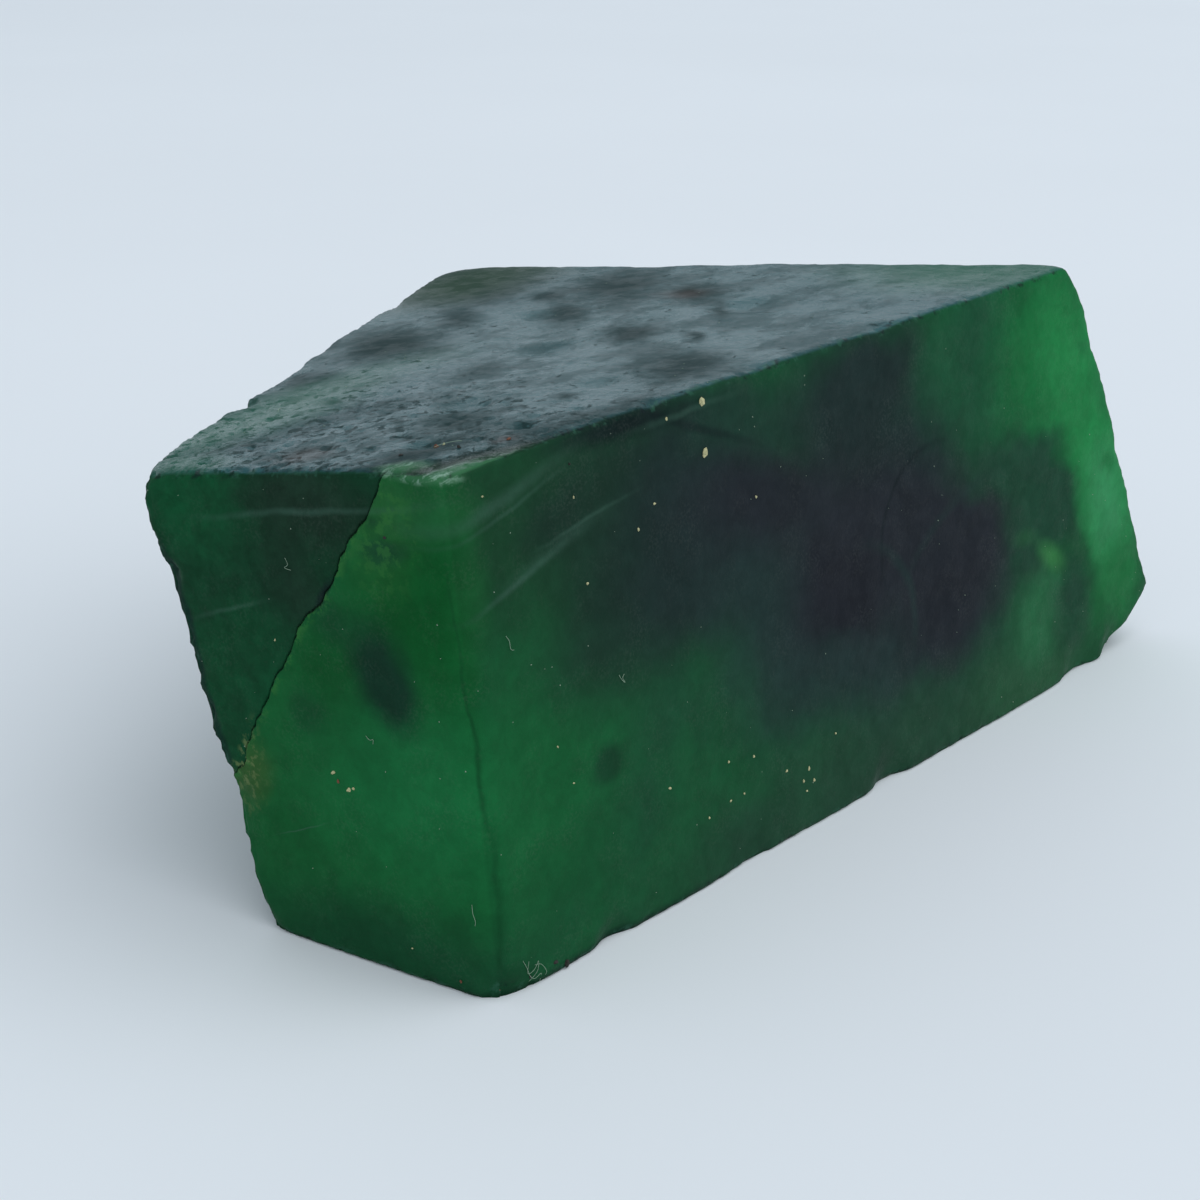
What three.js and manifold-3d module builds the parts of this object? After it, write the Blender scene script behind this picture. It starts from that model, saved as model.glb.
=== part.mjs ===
// Raw emerald: one rough, sawn chunk of green beryl, about 50 x 30 x 19 mm.
// Units are millimetres and +Z is up. The finished stone's origin is at the bottom centre of its box.
//
// The stone is laid out in a frame of its own first: the origin is the foot of its front corner, +X runs
// along the foot of the long sawn face and +Y runs back into the stone.

import * as THREE from 'three';
import { mergeVertices } from 'three/addons/utils/BufferGeometryUtils.js';
import Module from 'manifold-3d';

const wasm = await Module();
wasm.setup();

// ---------------------------------------------------------------- driving dimensions

const FOOT_LENGTH = 48.0;          // foot of the long sawn face
const FRONT_HEIGHT = 19.4;         // height at the rim of the long face
const BACK_HEIGHT = 17.0;          // height at the rim of the left back face
const END_WIDTH = 10.55;           // foot of the narrow end face
const FACE_LEAN = 1.6;             // how far the long face leans in, foot to rim

const CORNER = {
  frontFoot: new THREE.Vector3(0, 0, 0),
  rightFoot: new THREE.Vector3(FOOT_LENGTH, 0, 0),
  leftFoot: new THREE.Vector3(-1.1, END_WIDTH, 0),
  backFoot: new THREE.Vector3(36.7, 29.3, 0),
  frontRim: new THREE.Vector3(-0.6, FACE_LEAN, FRONT_HEIGHT),
  rightRim: new THREE.Vector3(39.9, FACE_LEAN, FRONT_HEIGHT),
  leftRim: new THREE.Vector3(-2.0, 15.3, BACK_HEIGHT),
  backRim: new THREE.Vector3(29.8, 30.2, BACK_HEIGHT),
};

const EDGE_ROUNDING = 0.4;         // how far the worn edges are blended
const FOOT_ROUNDING = 0.25;        // the crisper edges round the foot
const SIDE_EDGE_ROUNDING = 0.35;   // the crisper upright edges where the broken faces start
const FRONT_EDGE_ROUNDING = 1.1;   // the softer upright edge between end face and long face
const BACK_CORNER_ROUNDING = 3.2;  // the well-worn upright edge at the back
const RIGHT_BOW = 0.35;            // the right face bows outward by this much at half height
const ALLOWANCE = { sawn: 0.1, leftBack: 0.06, right: 0.42 }; // how far faces stand outside their corners

const SEGMENTS = { along: 46, across: 20, up: 18 };
const CUT_RELIEF = 0.5;            // share of the surface relief that the small corner facets take
const EDGE_STEPS = [0.35, 1.0];    // distances of the first mesh lines from every edge
const MESH_DEPTH = 17;             // length along which the lines across the stone are spaced
const CORE = { from: 0.2, to: 0.8 };    // share of the block that its core takes up, where the rays start
const CAST = { from: 0.3, to: 1.6, steps: 40 }; // how far along a ray the skin is looked for

const CRACK_WIDTH = 0.24;
const CRACK_DEPTH = 0.55;
const CRACK_STEP = 0.14;           // the wedge left of the crack lies this much lower
const CUTTER_REACH = 2;            // how far the crack's cutters stand out of the end face

const GREEN = 0x14532c;

// ---------------------------------------------------------------- small helpers

/** Polynomial smooth maximum: blends two distances over the width `blend`. */
function smoothMax(a, b, blend) {
  const overlap = Math.max(blend - Math.abs(a - b), 0) / blend;
  return Math.max(a, b) + overlap * overlap * blend * 0.25;
}

/** Smooth 0..1 ramp between two limits. */
function ramp(value, from, to) {
  return THREE.MathUtils.smoothstep(value, from, to);
}

const MIDDLE = new THREE.Vector3();
for (const corner of Object.values(CORNER)) {
  MIDDLE.addScaledVector(corner, 1 / 8);
}

/** Plane through three points, with its normal pointing out of the stone. */
function facePlane(a, b, c) {
  const plane = new THREE.Plane().setFromCoplanarPoints(a, b, c);
  return plane.distanceToPoint(MIDDLE) > 0 ? plane.negate() : plane;
}

/** Plane that cuts a corner off, through points given as [x, y, z]. */
function cornerCut(...points) {
  return facePlane(...points.map((point) => new THREE.Vector3(...point)));
}

// ---------------------------------------------------------------- faces

const LONG_FACE = facePlane(CORNER.frontFoot, CORNER.rightFoot, CORNER.frontRim);
const END_FACE = facePlane(CORNER.frontFoot, CORNER.leftFoot, CORNER.frontRim);
const LEFT_BACK_FACE = facePlane(CORNER.leftFoot, CORNER.leftRim, CORNER.backRim);
const RIGHT_FACE = facePlane(CORNER.rightFoot, CORNER.rightRim, CORNER.backRim);
const FOOT = new THREE.Plane(new THREE.Vector3(0, 0, -1), 0);

// Small facets where corners have been knocked off.
const CORNER_CUTS = [
  cornerCut([-0.9, 4.3, 19.2], [3.6, 1.6, 19.4], [-0.6, 1.6, 19.1]),    // front rim, a pale narrow bevel
  cornerCut([1.8, 0, 0], [0, 0.8, 0], [0, 0, 1.3]),                     // front foot
  cornerCut([43.6, 0, 0], [48.2, 0.2, 2.7], [47.2, 9.0, 0]),            // right foot
  cornerCut([39.8, 1.6, 19.5], [42.6, 1.3, 16.2], [40.2, 4.6, 19.2]),   // right rim
  cornerCut([-2.1, 13.8, 17.3], [-2.1, 15.2, 16.2], [-1.2, 15.4, 17.0]), // left rim
  cornerCut([-1.2, 10.9, 1.0], [-1.0, 10.0, -0.1], [0.6, 12.1, -0.3]),  // left foot
];

/** Height of the gently twisted top face at (x, y). */
function topHeight(x, y) {
  const backSlope = (CORNER.backRim.y - CORNER.leftRim.y) / (CORNER.backRim.x - CORNER.leftRim.x);
  const backRimY = CORNER.leftRim.y + backSlope * (x - CORNER.leftRim.x);
  const across = (y - FACE_LEAN) / (backRimY - FACE_LEAN);
  return FRONT_HEIGHT - (FRONT_HEIGHT - BACK_HEIGHT) * across;
}

// ---------------------------------------------------------------- surface relief

// Shallow hollows, scallops and nicks: where they are, how wide and how deep.
const HOLLOWS = [
  { at: [-1.85, 14.2, 13.2], radius: 0.8, depth: 0.30 },  // notch in the left edge
  { at: [-1.7, 13.2, 10.0], radius: 0.9, depth: 0.12 },
  { at: [-1.6, 13.0, 8.2], radius: 0.9, depth: 0.14 },
  { at: [-1.4, 12.1, 5.0], radius: 1.7, depth: 0.30 },    // stained hollow at the foot of the crack
  { at: [6.2, 19.3, 17.0], radius: 1.2, depth: 0.36 },    // nicks in the left back rim
  { at: [14.5, 23.2, 17.0], radius: 1.6, depth: 0.16 },
  { at: [22.4, 27.0, 17.0], radius: 1.7, depth: 0.25 },
  { at: [2.6, 5.4, 18.7], radius: 1.0, depth: 0.22 },     // pits in the top, near the front rim
  { at: [5.6, 3.6, 19.0], radius: 0.8, depth: 0.26 },
  { at: [8.0, 8.6, 18.2], radius: 1.6, depth: 0.20 },
  { at: [12.6, 6.0, 18.8], radius: 1.3, depth: 0.18 },
  { at: [17.0, 12.4, 18.2], radius: 1.8, depth: 0.24 },
  { at: [22.5, 17.5, 18.0], radius: 1.5, depth: 0.22 },
  { at: [27.0, 9.6, 18.7], radius: 2.1, depth: 0.20 },
  { at: [10.3, 1.5, 19.4], radius: 0.9, depth: 0.24 },    // nicks in the rim of the long face
  { at: [16.5, 1.5, 19.4], radius: 1.6, depth: 0.16 },
  { at: [25.0, 1.5, 19.4], radius: 1.3, depth: 0.14 },
  { at: [6.2, 0.0, 0.0], radius: 1.3, depth: 0.36 },      // nicks along the foot of the long face
  { at: [14.6, 0.0, 0.0], radius: 1.7, depth: 0.12 },
  { at: [24.6, 0.0, 0.0], radius: 1.8, depth: 0.42 },
  { at: [41.0, 0.0, 0.0], radius: 2.2, depth: 0.40 },
  { at: [47.4, 0.2, 2.9], radius: 1.3, depth: 0.30 },
  { at: [44.6, 13.0, 4.0], radius: 4.2, depth: 0.55 },    // broad scoops on the two back faces
  { at: [38.4, 18.6, 11.5], radius: 4.8, depth: 0.60 },
  { at: [12.0, 18.6, 7.0], radius: 4.6, depth: 0.50 },
  { at: [24.0, 24.6, 10.5], radius: 5.2, depth: 0.55 },
  { at: [29.0, 28.8, 17.0], radius: 2.6, depth: 0.24 },   // worn spots of the back rims
  { at: [10.4, 21.2, 17.0], radius: 3.6, depth: 0.20 },
];

/** Depth of all the hollows together at a point. */
function hollowDepth(point) {
  const centre = new THREE.Vector3();
  let depth = 0;
  for (const hollow of HOLLOWS) {
    const reach = centre.set(...hollow.at).distanceTo(point) / hollow.radius;
    const bowl = Math.max(1 - reach * reach, 0);
    depth += hollow.depth * bowl * bowl;
  }
  return depth;
}

/** Faint waviness left by sawing and wear. */
function waviness({ x, y, z }) {
  const broad = Math.sin(0.31 * x + 0.17 * z + 0.6) * Math.cos(0.27 * y - 0.21 * x + 1.1);
  const fine = Math.sin(0.83 * x - 0.97 * y + 0.5 * z) * Math.sin(0.95 * z + 0.71 * y + 0.64 * x + 2.0);
  return 0.05 * broad + 0.025 * fine;
}

/** Rougher ripples on the two broken back faces. */
function brokenRipples({ x, y, z }) {
  const steps = Math.sin(0.9 * x + 1.9 * z) * Math.cos(0.55 * y - 0.7 * z + 0.8);
  return 0.09 * steps + 0.06 * Math.sin(1.7 * y + 0.8 * z - 0.6 * x);
}

/** Signed distance to the stone's skin: negative inside, positive outside. */
function skinDistance(point) {
  const relief = waviness(point) + hollowDepth(point);
  const broken = relief + brokenRipples(point);
  const height = point.z / FRONT_HEIGHT;
  const bow = RIGHT_BOW * Math.sin(Math.PI * THREE.MathUtils.clamp(height, 0, 1));

  const longFace = LONG_FACE.distanceToPoint(point) - ALLOWANCE.sawn + relief;
  const endFace = END_FACE.distanceToPoint(point) - ALLOWANCE.sawn + relief;
  const leftBack = LEFT_BACK_FACE.distanceToPoint(point) - ALLOWANCE.leftBack + broken;
  const right = RIGHT_FACE.distanceToPoint(point) - ALLOWANCE.right - bow + broken;
  const top = point.z - topHeight(point.x, point.y) + relief;

  const front = smoothMax(endFace, longFace, FRONT_EDGE_ROUNDING);
  const back = smoothMax(leftBack, right, BACK_CORNER_ROUNDING);
  let distance = smoothMax(front, back, SIDE_EDGE_ROUNDING);
  for (const cut of CORNER_CUTS) {
    distance = smoothMax(distance, cut.distanceToPoint(point) + relief * CUT_RELIEF, EDGE_ROUNDING);
  }
  distance = smoothMax(distance, top, EDGE_ROUNDING);
  return smoothMax(distance, FOOT.distanceToPoint(point), FOOT_ROUNDING);
}

// ---------------------------------------------------------------- mesh of the stone

/** Even spacing from 0 to 1 with a few lines drawn close to both ends of a side. */
function spacedLine(index, count, sideLength) {
  const fromEnd = Math.min(index, count - index);
  const edge = [0, ...EDGE_STEPS].map((step) => step / sideLength);
  const last = edge.length - 1;
  if (fromEnd > last) {
    return edge[last] + (1 - 2 * edge[last]) * (index - last) / (count - 2 * last);
  }
  return index === fromEnd ? edge[fromEnd] : 1 - edge[fromEnd];
}

/** Point inside the eight-cornered block, from three coordinates between 0 and 1. */
function blockPoint(along, across, up) {
  const mix = (a, b, t) => new THREE.Vector3().lerpVectors(a, b, t);
  const foot = mix(
    mix(CORNER.frontFoot, CORNER.rightFoot, along),
    mix(CORNER.leftFoot, CORNER.backFoot, along),
    across,
  );
  const rim = mix(
    mix(CORNER.frontRim, CORNER.rightRim, along),
    mix(CORNER.leftRim, CORNER.backRim, along),
    across,
  );
  return foot.lerp(rim, up);
}

/** Moves a point along its ray from `anchor` until it lies on the stone's skin. */
function castToSkin(anchor, target) {
  const point = new THREE.Vector3();
  let inside = CAST.from;
  let outside = CAST.to;
  for (let step = 0; step < CAST.steps; step += 1) {
    const middle = (inside + outside) / 2;
    point.lerpVectors(anchor, target, middle);
    if (skinDistance(point) > 0) {
      outside = middle;
    } else {
      inside = middle;
    }
  }
  return point;
}

/** The stone's skin as a box grid pressed onto the worn block. */
function stoneSkin() {
  const { along, across, up } = SEGMENTS;
  const skin = new THREE.BoxGeometry(2, 2, 2, along, across, up);
  const position = skin.attributes.position;
  const lineOf = (value, count, length) => spacedLine(Math.round((value + 1) / 2 * count), count, length);
  const towardMiddle = (t) => THREE.MathUtils.clamp(t, CORE.from, CORE.to);

  for (let i = 0; i < position.count; i += 1) {
    const u = lineOf(position.getX(i), along, FOOT_LENGTH);
    const v = lineOf(position.getY(i), across, MESH_DEPTH);
    const w = lineOf(position.getZ(i), up, FRONT_HEIGHT);
    const anchor = blockPoint(towardMiddle(u), towardMiddle(v), towardMiddle(w));
    const point = castToSkin(anchor, blockPoint(u, v, w));
    const onFoot = Math.abs(point.z) < 1e-4;
    position.setXYZ(i, point.x, point.y, onFoot ? 0 : point.z);
  }
  skin.deleteAttribute('normal');
  skin.deleteAttribute('uv');
  return mergeVertices(skin, 1e-5);
}

// ---------------------------------------------------------------- the crack across the end face

// Jagged run of the crack, as [distance back from the front corner, height] on the end face.
const CRACK_LINE = [
  [4.1, 20.2], [4.2, 18.8], [4.8, 17.3], [5.3, 16.8], [6.0, 15.8], [6.3, 15.0], [6.9, 14.1], [7.2, 13.6],
  [7.8, 13.1], [8.2, 12.5], [8.6, 11.6], [9.1, 10.8], [9.8, 9.6], [10.2, 9.0], [10.7, 8.0], [11.3, 6.5],
  [12.6, 5.2],
];
const BEYOND_EDGE = 20;            // reach of the step's cutter past the left edge

/** Extrudes a closed outline of the end face from `from` to `to` along the face's outward normal. */
function endFacePrism(outline, from, to) {
  const points = outline.map(([back, height]) => new THREE.Vector2(-back, height));
  const prism = new THREE.ExtrudeGeometry(new THREE.Shape(points), {
    depth: to - from,
    bevelEnabled: false,
  });
  prism.translate(0, 0, from);
  const outward = END_FACE.normal.clone();
  const forward = new THREE.Vector3(0, 0, 1).cross(outward).normalize();
  const upward = new THREE.Vector3().crossVectors(outward, forward);
  prism.applyMatrix4(new THREE.Matrix4().makeBasis(forward, upward, outward));
  prism.deleteAttribute('normal');
  prism.deleteAttribute('uv');
  return mergeVertices(prism, 1e-5);
}

/** Outline of the thin crack itself, drawn wide in the middle and fine at its lower end. */
function crackOutline() {
  const last = CRACK_LINE.length - 1;
  const halfWidth = (i) => (CRACK_WIDTH / 2) * (1 - 0.6 * ramp(i / last, 0.55, 1));
  const right = CRACK_LINE.map(([back, height], i) => [back - halfWidth(i), height - halfWidth(i)]);
  const left = CRACK_LINE.map(([back, height], i) => [back + halfWidth(i), height + halfWidth(i)]);
  return [...right, ...left.reverse()];
}

/** Outline of the slightly lower wedge to the left of the crack. */
function wedgeOutline() {
  const top = CRACK_LINE[0];
  const bottom = CRACK_LINE[CRACK_LINE.length - 1];
  return [...CRACK_LINE, [BEYOND_EDGE, bottom[1]], [BEYOND_EDGE, top[1]]];
}

// ---------------------------------------------------------------- solids and the finished part

/** Turns an indexed geometry into a solid. */
function toSolid(geometry) {
  const mesh = new wasm.Mesh({
    numProp: 3,
    vertProperties: new Float32Array(geometry.attributes.position.array),
    triVerts: new Uint32Array(geometry.index.array),
  });
  return new wasm.Manifold(mesh);
}

/** Turns a solid back into a geometry. */
function toGeometry(solid) {
  const mesh = solid.getMesh();
  const geometry = new THREE.BufferGeometry();
  geometry.setAttribute('position', new THREE.BufferAttribute(new Float32Array(mesh.vertProperties), 3));
  geometry.setIndex(new THREE.BufferAttribute(new Uint32Array(mesh.triVerts), 1));
  return geometry;
}

/** The whole stone with its crack, standing on Z = 0 with its box centred on the Z axis. */
function emeraldGeometry() {
  const crack = endFacePrism(crackOutline(), -CRACK_DEPTH, CUTTER_REACH);
  const wedge = endFacePrism(wedgeOutline(), -CRACK_STEP, CUTTER_REACH);
  const stone = toSolid(stoneSkin()).subtract(toSolid(wedge)).subtract(toSolid(crack));
  const geometry = toGeometry(stone);
  geometry.computeBoundingBox();
  const centre = geometry.boundingBox.getCenter(new THREE.Vector3());
  geometry.translate(-centre.x, -centre.y, -geometry.boundingBox.min.z);
  geometry.computeVertexNormals();
  return geometry;
}

const material = new THREE.MeshStandardMaterial({ color: GREEN, roughness: 0.35, metalness: 0 });
material.name = 'cloudy green beryl';

const emerald = new THREE.Mesh(emeraldGeometry(), material);
emerald.name = 'raw_emerald';

const part = new THREE.Group();
part.name = 'raw emerald';
part.add(emerald);

export default part;
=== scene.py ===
"""Raw emerald: one rough, sawn chunk of cloudy green beryl on a plain pale studio floor.

The stone is laid out in millimetres in a frame of its own: the origin is the foot of its front corner,
+X runs along the foot of the long sawn face and +Y runs back into the stone. Finished pieces are in
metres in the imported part's frame.
"""

import logging
import math
import random
from dataclasses import dataclass, field
from enum import Enum
from functools import reduce
from typing import Any, Iterable

import bmesh
import bpy
import numpy as np
from bpy.types import Material, Mesh, Node, NodeSocket, NodeTree, Object
from mathutils import Euler, Matrix, Vector, noise


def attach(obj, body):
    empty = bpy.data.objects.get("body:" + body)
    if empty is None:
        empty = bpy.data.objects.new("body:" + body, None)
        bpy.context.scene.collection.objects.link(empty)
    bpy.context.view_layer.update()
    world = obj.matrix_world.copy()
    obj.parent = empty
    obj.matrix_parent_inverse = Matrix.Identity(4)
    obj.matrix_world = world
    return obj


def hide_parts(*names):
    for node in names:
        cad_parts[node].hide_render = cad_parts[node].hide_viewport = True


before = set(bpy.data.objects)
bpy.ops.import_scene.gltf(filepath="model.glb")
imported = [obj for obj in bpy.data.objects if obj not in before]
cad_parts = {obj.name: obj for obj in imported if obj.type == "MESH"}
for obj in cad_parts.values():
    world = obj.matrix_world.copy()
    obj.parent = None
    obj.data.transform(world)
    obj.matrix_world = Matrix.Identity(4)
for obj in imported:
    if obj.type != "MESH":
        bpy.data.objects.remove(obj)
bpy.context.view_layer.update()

LOG = logging.getLogger("raw_emerald")

Triple = tuple[float, float, float]
Pair = tuple[float, float]

METRES = 0.001                        # one millimetre in metres
FULL_TURN = 6.28                      # one turn in radians
PART_CENTRE = (22.735297, 14.649897, 0.0)  # the part's origin, in the stone's own frame
NODE = "raw_emerald"
BODY = "root"


# ---------------------------------------------------------------- small helpers


def ramp(value: np.ndarray, low: float, high: float) -> np.ndarray:
    """Smooth 0..1 ramp of an array between two limits, which may run downwards."""
    t = np.clip((value - low) / (high - low), 0.0, 1.0)
    return t * t * (3.0 - 2.0 * t)


def smooth_max(a: np.ndarray, b: np.ndarray, blend: float) -> np.ndarray:
    """Larger of two distances, blended over the width `blend`."""
    overlap = np.maximum(blend - np.abs(a - b), 0.0) / blend
    return np.maximum(a, b) + overlap * overlap * blend * 0.25


def fractal(points: np.ndarray, scale: float, octaves: int = 3, shift: float = 0.0) -> np.ndarray:
    """Fractal noise at every point.

    Args:
        points: Positions in millimetres, one per row.
        scale: Features per millimetre.
        octaves: Number of octaves.
        shift: Moves the pattern, so that two patterns differ.

    Returns:
        One value for each point, roughly between -1 and 1.
    """
    rows = (points * scale + shift).tolist()
    return np.array([noise.fractal(Vector(row), 0.9, 2.1, octaves) for row in rows])


def to_part(points: np.ndarray) -> np.ndarray:
    """Turns millimetres in the stone's frame into metres in the part's frame."""
    return (points - np.array(PART_CENTRE)) * METRES


# ---------------------------------------------------------------- shape of the stone


class Face(Enum):
    """Faces of the stone."""

    LONG = "long"
    END = "end"
    LEFT_BACK = "left_back"
    RIGHT = "right"
    TOP = "top"
    FOOT = "foot"


@dataclass(frozen=True)
class Plane:
    """A flat face with its normal pointing out of the stone."""

    normal: np.ndarray
    offset: float

    @staticmethod
    def through(points: Iterable[Triple], inside: np.ndarray) -> "Plane":
        """Plane through three points.

        Args:
            points: Three corners, in millimetres.
            inside: Any point inside the stone.

        Returns:
            The plane, facing away from `inside`.
        """
        a, b, c = (np.array(point, dtype=float) for point in points)
        normal = np.cross(b - a, c - a)
        normal /= np.linalg.norm(normal)
        if normal @ (inside - a) > 0:
            normal = -normal
        return Plane(normal, float(normal @ a))

    def distance(self, points: np.ndarray) -> np.ndarray:
        """Signed distance of every point, positive outside."""
        return points @ self.normal - self.offset


@dataclass(frozen=True)
class Hollow:
    """Shallow bowl worn or chipped into the skin, in millimetres."""

    at: Triple
    radius: float
    depth: float


HOLLOWS = (
    Hollow((-1.85, 14.2, 13.2), 0.8, 0.30), Hollow((-1.7, 13.2, 10.0), 0.9, 0.12),
    Hollow((-1.6, 13.0, 8.2), 0.9, 0.14), Hollow((-1.4, 12.1, 5.0), 1.7, 0.30),
    Hollow((6.2, 19.3, 17.0), 1.2, 0.36), Hollow((14.5, 23.2, 17.0), 1.6, 0.06),
    Hollow((22.4, 27.0, 17.0), 1.7, 0.06), Hollow((2.6, 5.4, 18.7), 1.0, 0.22),
    Hollow((5.6, 3.6, 19.0), 0.8, 0.26), Hollow((8.0, 8.6, 18.2), 1.6, 0.20),
    Hollow((12.6, 6.0, 18.8), 1.3, 0.18), Hollow((17.0, 12.4, 18.2), 1.8, 0.24),
    Hollow((22.5, 17.5, 18.0), 1.5, 0.22), Hollow((27.0, 9.6, 18.7), 2.1, 0.20),
    Hollow((10.3, 1.5, 19.4), 0.9, 0.24), Hollow((16.5, 1.5, 19.4), 1.6, 0.16),
    Hollow((25.0, 1.5, 19.4), 1.3, 0.14), Hollow((6.2, 0.0, 0.0), 1.3, 0.36),
    Hollow((14.6, 0.0, 0.0), 1.7, 0.12), Hollow((24.6, 0.0, 0.0), 1.8, 0.42),
    Hollow((41.0, 0.0, 0.0), 2.2, 0.40),
    Hollow((-1.9, 14.5, 15.4), 1.8, -0.20), Hollow((44.6, 13.0, 4.0), 4.2, 0.55),
    Hollow((38.4, 18.6, 11.5), 4.8, 0.60), Hollow((12.0, 18.6, 7.0), 4.6, 0.50),
    Hollow((24.0, 24.6, 10.5), 5.2, 0.55), Hollow((44.2, 0.2, 0.2), 1.7, 0.36),
    Hollow((10.4, 21.2, 17.0), 3.6, 0.10), Hollow((-1.3, 11.6, 3.2), 1.6, 0.14),
)


@dataclass
class RoughBlock:
    """The worn eight-cornered block: its sizes in millimetres and the distance to its skin."""

    foot_length: float = 48.0
    front_height: float = 19.4
    back_height: float = 17.0
    end_width: float = 10.55
    face_lean: float = 1.6
    edge_rounding: float = 0.4
    side_edge_rounding: float = 0.35
    foot_rounding: float = 0.25
    front_edge_rounding: float = 1.1
    back_corner_rounding: float = 3.2
    right_bow: float = 0.35
    sawn_allowance: float = 0.1
    left_back_allowance: float = 0.06
    right_allowance: float = 0.42
    corner: dict[str, np.ndarray] = field(init=False)
    plane: dict[Face, Plane] = field(init=False)
    cuts: list[Plane] = field(init=False)

    def __post_init__(self) -> None:
        """Places the corners and the planes through them."""
        lean, front, back = self.face_lean, self.front_height, self.back_height
        places = {
            "front_foot": (0.0, 0.0, 0.0), "right_foot": (self.foot_length, 0.0, 0.0),
            "left_foot": (-1.1, self.end_width, 0.0), "back_foot": (36.7, 29.3, 0.0),
            "front_rim": (-0.6, lean, front), "right_rim": (39.9, lean, front),
            "left_rim": (-2.0, 15.3, back), "back_rim": (29.8, 30.2, back),
        }
        self.corner = {name: np.array(place) for name, place in places.items()}
        middle = sum(self.corner.values()) / len(self.corner)

        def face(*names: str) -> Plane:
            """Plane through three named corners."""
            return Plane.through([tuple(self.corner[name]) for name in names], middle)

        self.plane = {
            Face.LONG: face("front_foot", "right_foot", "front_rim"),
            Face.END: face("front_foot", "left_foot", "front_rim"),
            Face.LEFT_BACK: face("left_foot", "left_rim", "back_rim"),
            Face.RIGHT: face("right_foot", "right_rim", "back_rim"),
            Face.FOOT: Plane(np.array([0.0, 0.0, -1.0]), 0.0),
        }
        cut_points = (
            ((-0.9, 4.3, 19.2), (3.6, 1.6, 19.4), (-0.6, 1.6, 19.1)),
            ((1.8, 0.0, 0.0), (0.0, 0.8, 0.0), (0.0, 0.0, 1.3)),
            ((43.6, 0.0, 0.0), (48.2, 0.2, 2.7), (47.2, 9.0, 0.0)),
            ((39.8, 1.6, 19.5), (42.6, 1.3, 16.2), (40.2, 4.6, 19.2)),
            ((-2.1, 13.8, 17.3), (-2.1, 15.2, 16.2), (-1.2, 15.4, 17.0)),
            ((-1.2, 10.9, 1.0), (-1.0, 10.0, -0.1), (0.6, 12.1, -0.3)),
        )
        self.cuts = [Plane.through(points, middle) for points in cut_points]

    def top_height(self, points: np.ndarray) -> np.ndarray:
        """Height of the gently twisted top face above every point.

        Args:
            points: Positions in millimetres, one per row.

        Returns:
            Heights in millimetres.
        """
        left, back = self.corner["left_rim"], self.corner["back_rim"]
        slope = (back[1] - left[1]) / (back[0] - left[0])
        back_y = left[1] + slope * (points[:, 0] - left[0])
        across = (points[:, 1] - self.face_lean) / (back_y - self.face_lean)
        return self.front_height - (self.front_height - self.back_height) * across

    @staticmethod
    def relief(points: np.ndarray) -> np.ndarray:
        """Depth of the waviness and of all the hollows at every point.

        Args:
            points: Positions in millimetres, one per row.

        Returns:
            Depths in millimetres.
        """
        x, y, z = points.T
        broad = np.sin(0.31 * x + 0.17 * z + 0.6) * np.cos(0.27 * y - 0.21 * x + 1.1)
        fine = np.sin(0.83 * x - 0.97 * y + 0.5 * z) * np.sin(0.95 * z + 0.71 * y + 0.64 * x + 2.0)
        depth = 0.05 * broad + 0.012 * fine
        for hollow in HOLLOWS:
            reach = np.sum((points - np.array(hollow.at)) ** 2, axis=1) / hollow.radius**2
            depth += hollow.depth * np.maximum(1.0 - reach, 0.0) ** 2
        return depth

    @staticmethod
    def ripples(points: np.ndarray) -> np.ndarray:
        """Rougher ripples of the two broken back faces, calmer near the rim.

        Args:
            points: Positions in millimetres, one per row.

        Returns:
            Depths in millimetres.
        """
        x, y, z = points.T
        steps = np.sin(0.9 * x + 1.9 * z) * np.cos(0.55 * y - 0.7 * z + 0.8)
        calm = 1.0 - 0.8 * ramp(z, 14.6, 16.4)
        return calm * (0.09 * steps + 0.06 * np.sin(1.7 * y + 0.8 * z - 0.6 * x))

    def faces(self, points: np.ndarray) -> dict[Face, np.ndarray]:
        """Signed distance of every point to each face on its own.

        Args:
            points: Positions in millimetres, one per row.

        Returns:
            Distances in millimetres, positive outside, by face.
        """
        relief = self.relief(points)
        broken = relief + self.ripples(points)
        bow = self.right_bow * np.sin(math.pi * np.clip(points[:, 2] / self.front_height, 0.0, 1.0))
        away = {face: plane.distance(points) for face, plane in self.plane.items()}
        away[Face.LONG] += relief - self.sawn_allowance
        away[Face.END] += relief - self.sawn_allowance
        away[Face.LEFT_BACK] += broken - self.left_back_allowance
        away[Face.RIGHT] += broken - self.right_allowance - bow
        away[Face.TOP] = points[:, 2] - self.top_height(points) + relief
        return away

    def skin(self, points: np.ndarray, step: np.ndarray | float = 0.0) -> np.ndarray:
        """Signed distance of every point to the skin.

        Args:
            points: Positions in millimetres, one per row.
            step: How far the end face lies below its plane at each point.

        Returns:
            Distances, negative inside the stone.
        """
        away = self.faces(points)
        front = smooth_max(away[Face.END] + step, away[Face.LONG], self.front_edge_rounding)
        back = smooth_max(away[Face.LEFT_BACK], away[Face.RIGHT], self.back_corner_rounding)
        distance = smooth_max(front, back, self.side_edge_rounding)
        half_relief = self.relief(points) * 0.5
        for cut in self.cuts:
            distance = smooth_max(distance, cut.distance(points) + half_relief, self.edge_rounding)
        distance = smooth_max(distance, away[Face.TOP], self.edge_rounding)
        return smooth_max(distance, away[Face.FOOT], self.foot_rounding)

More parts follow.
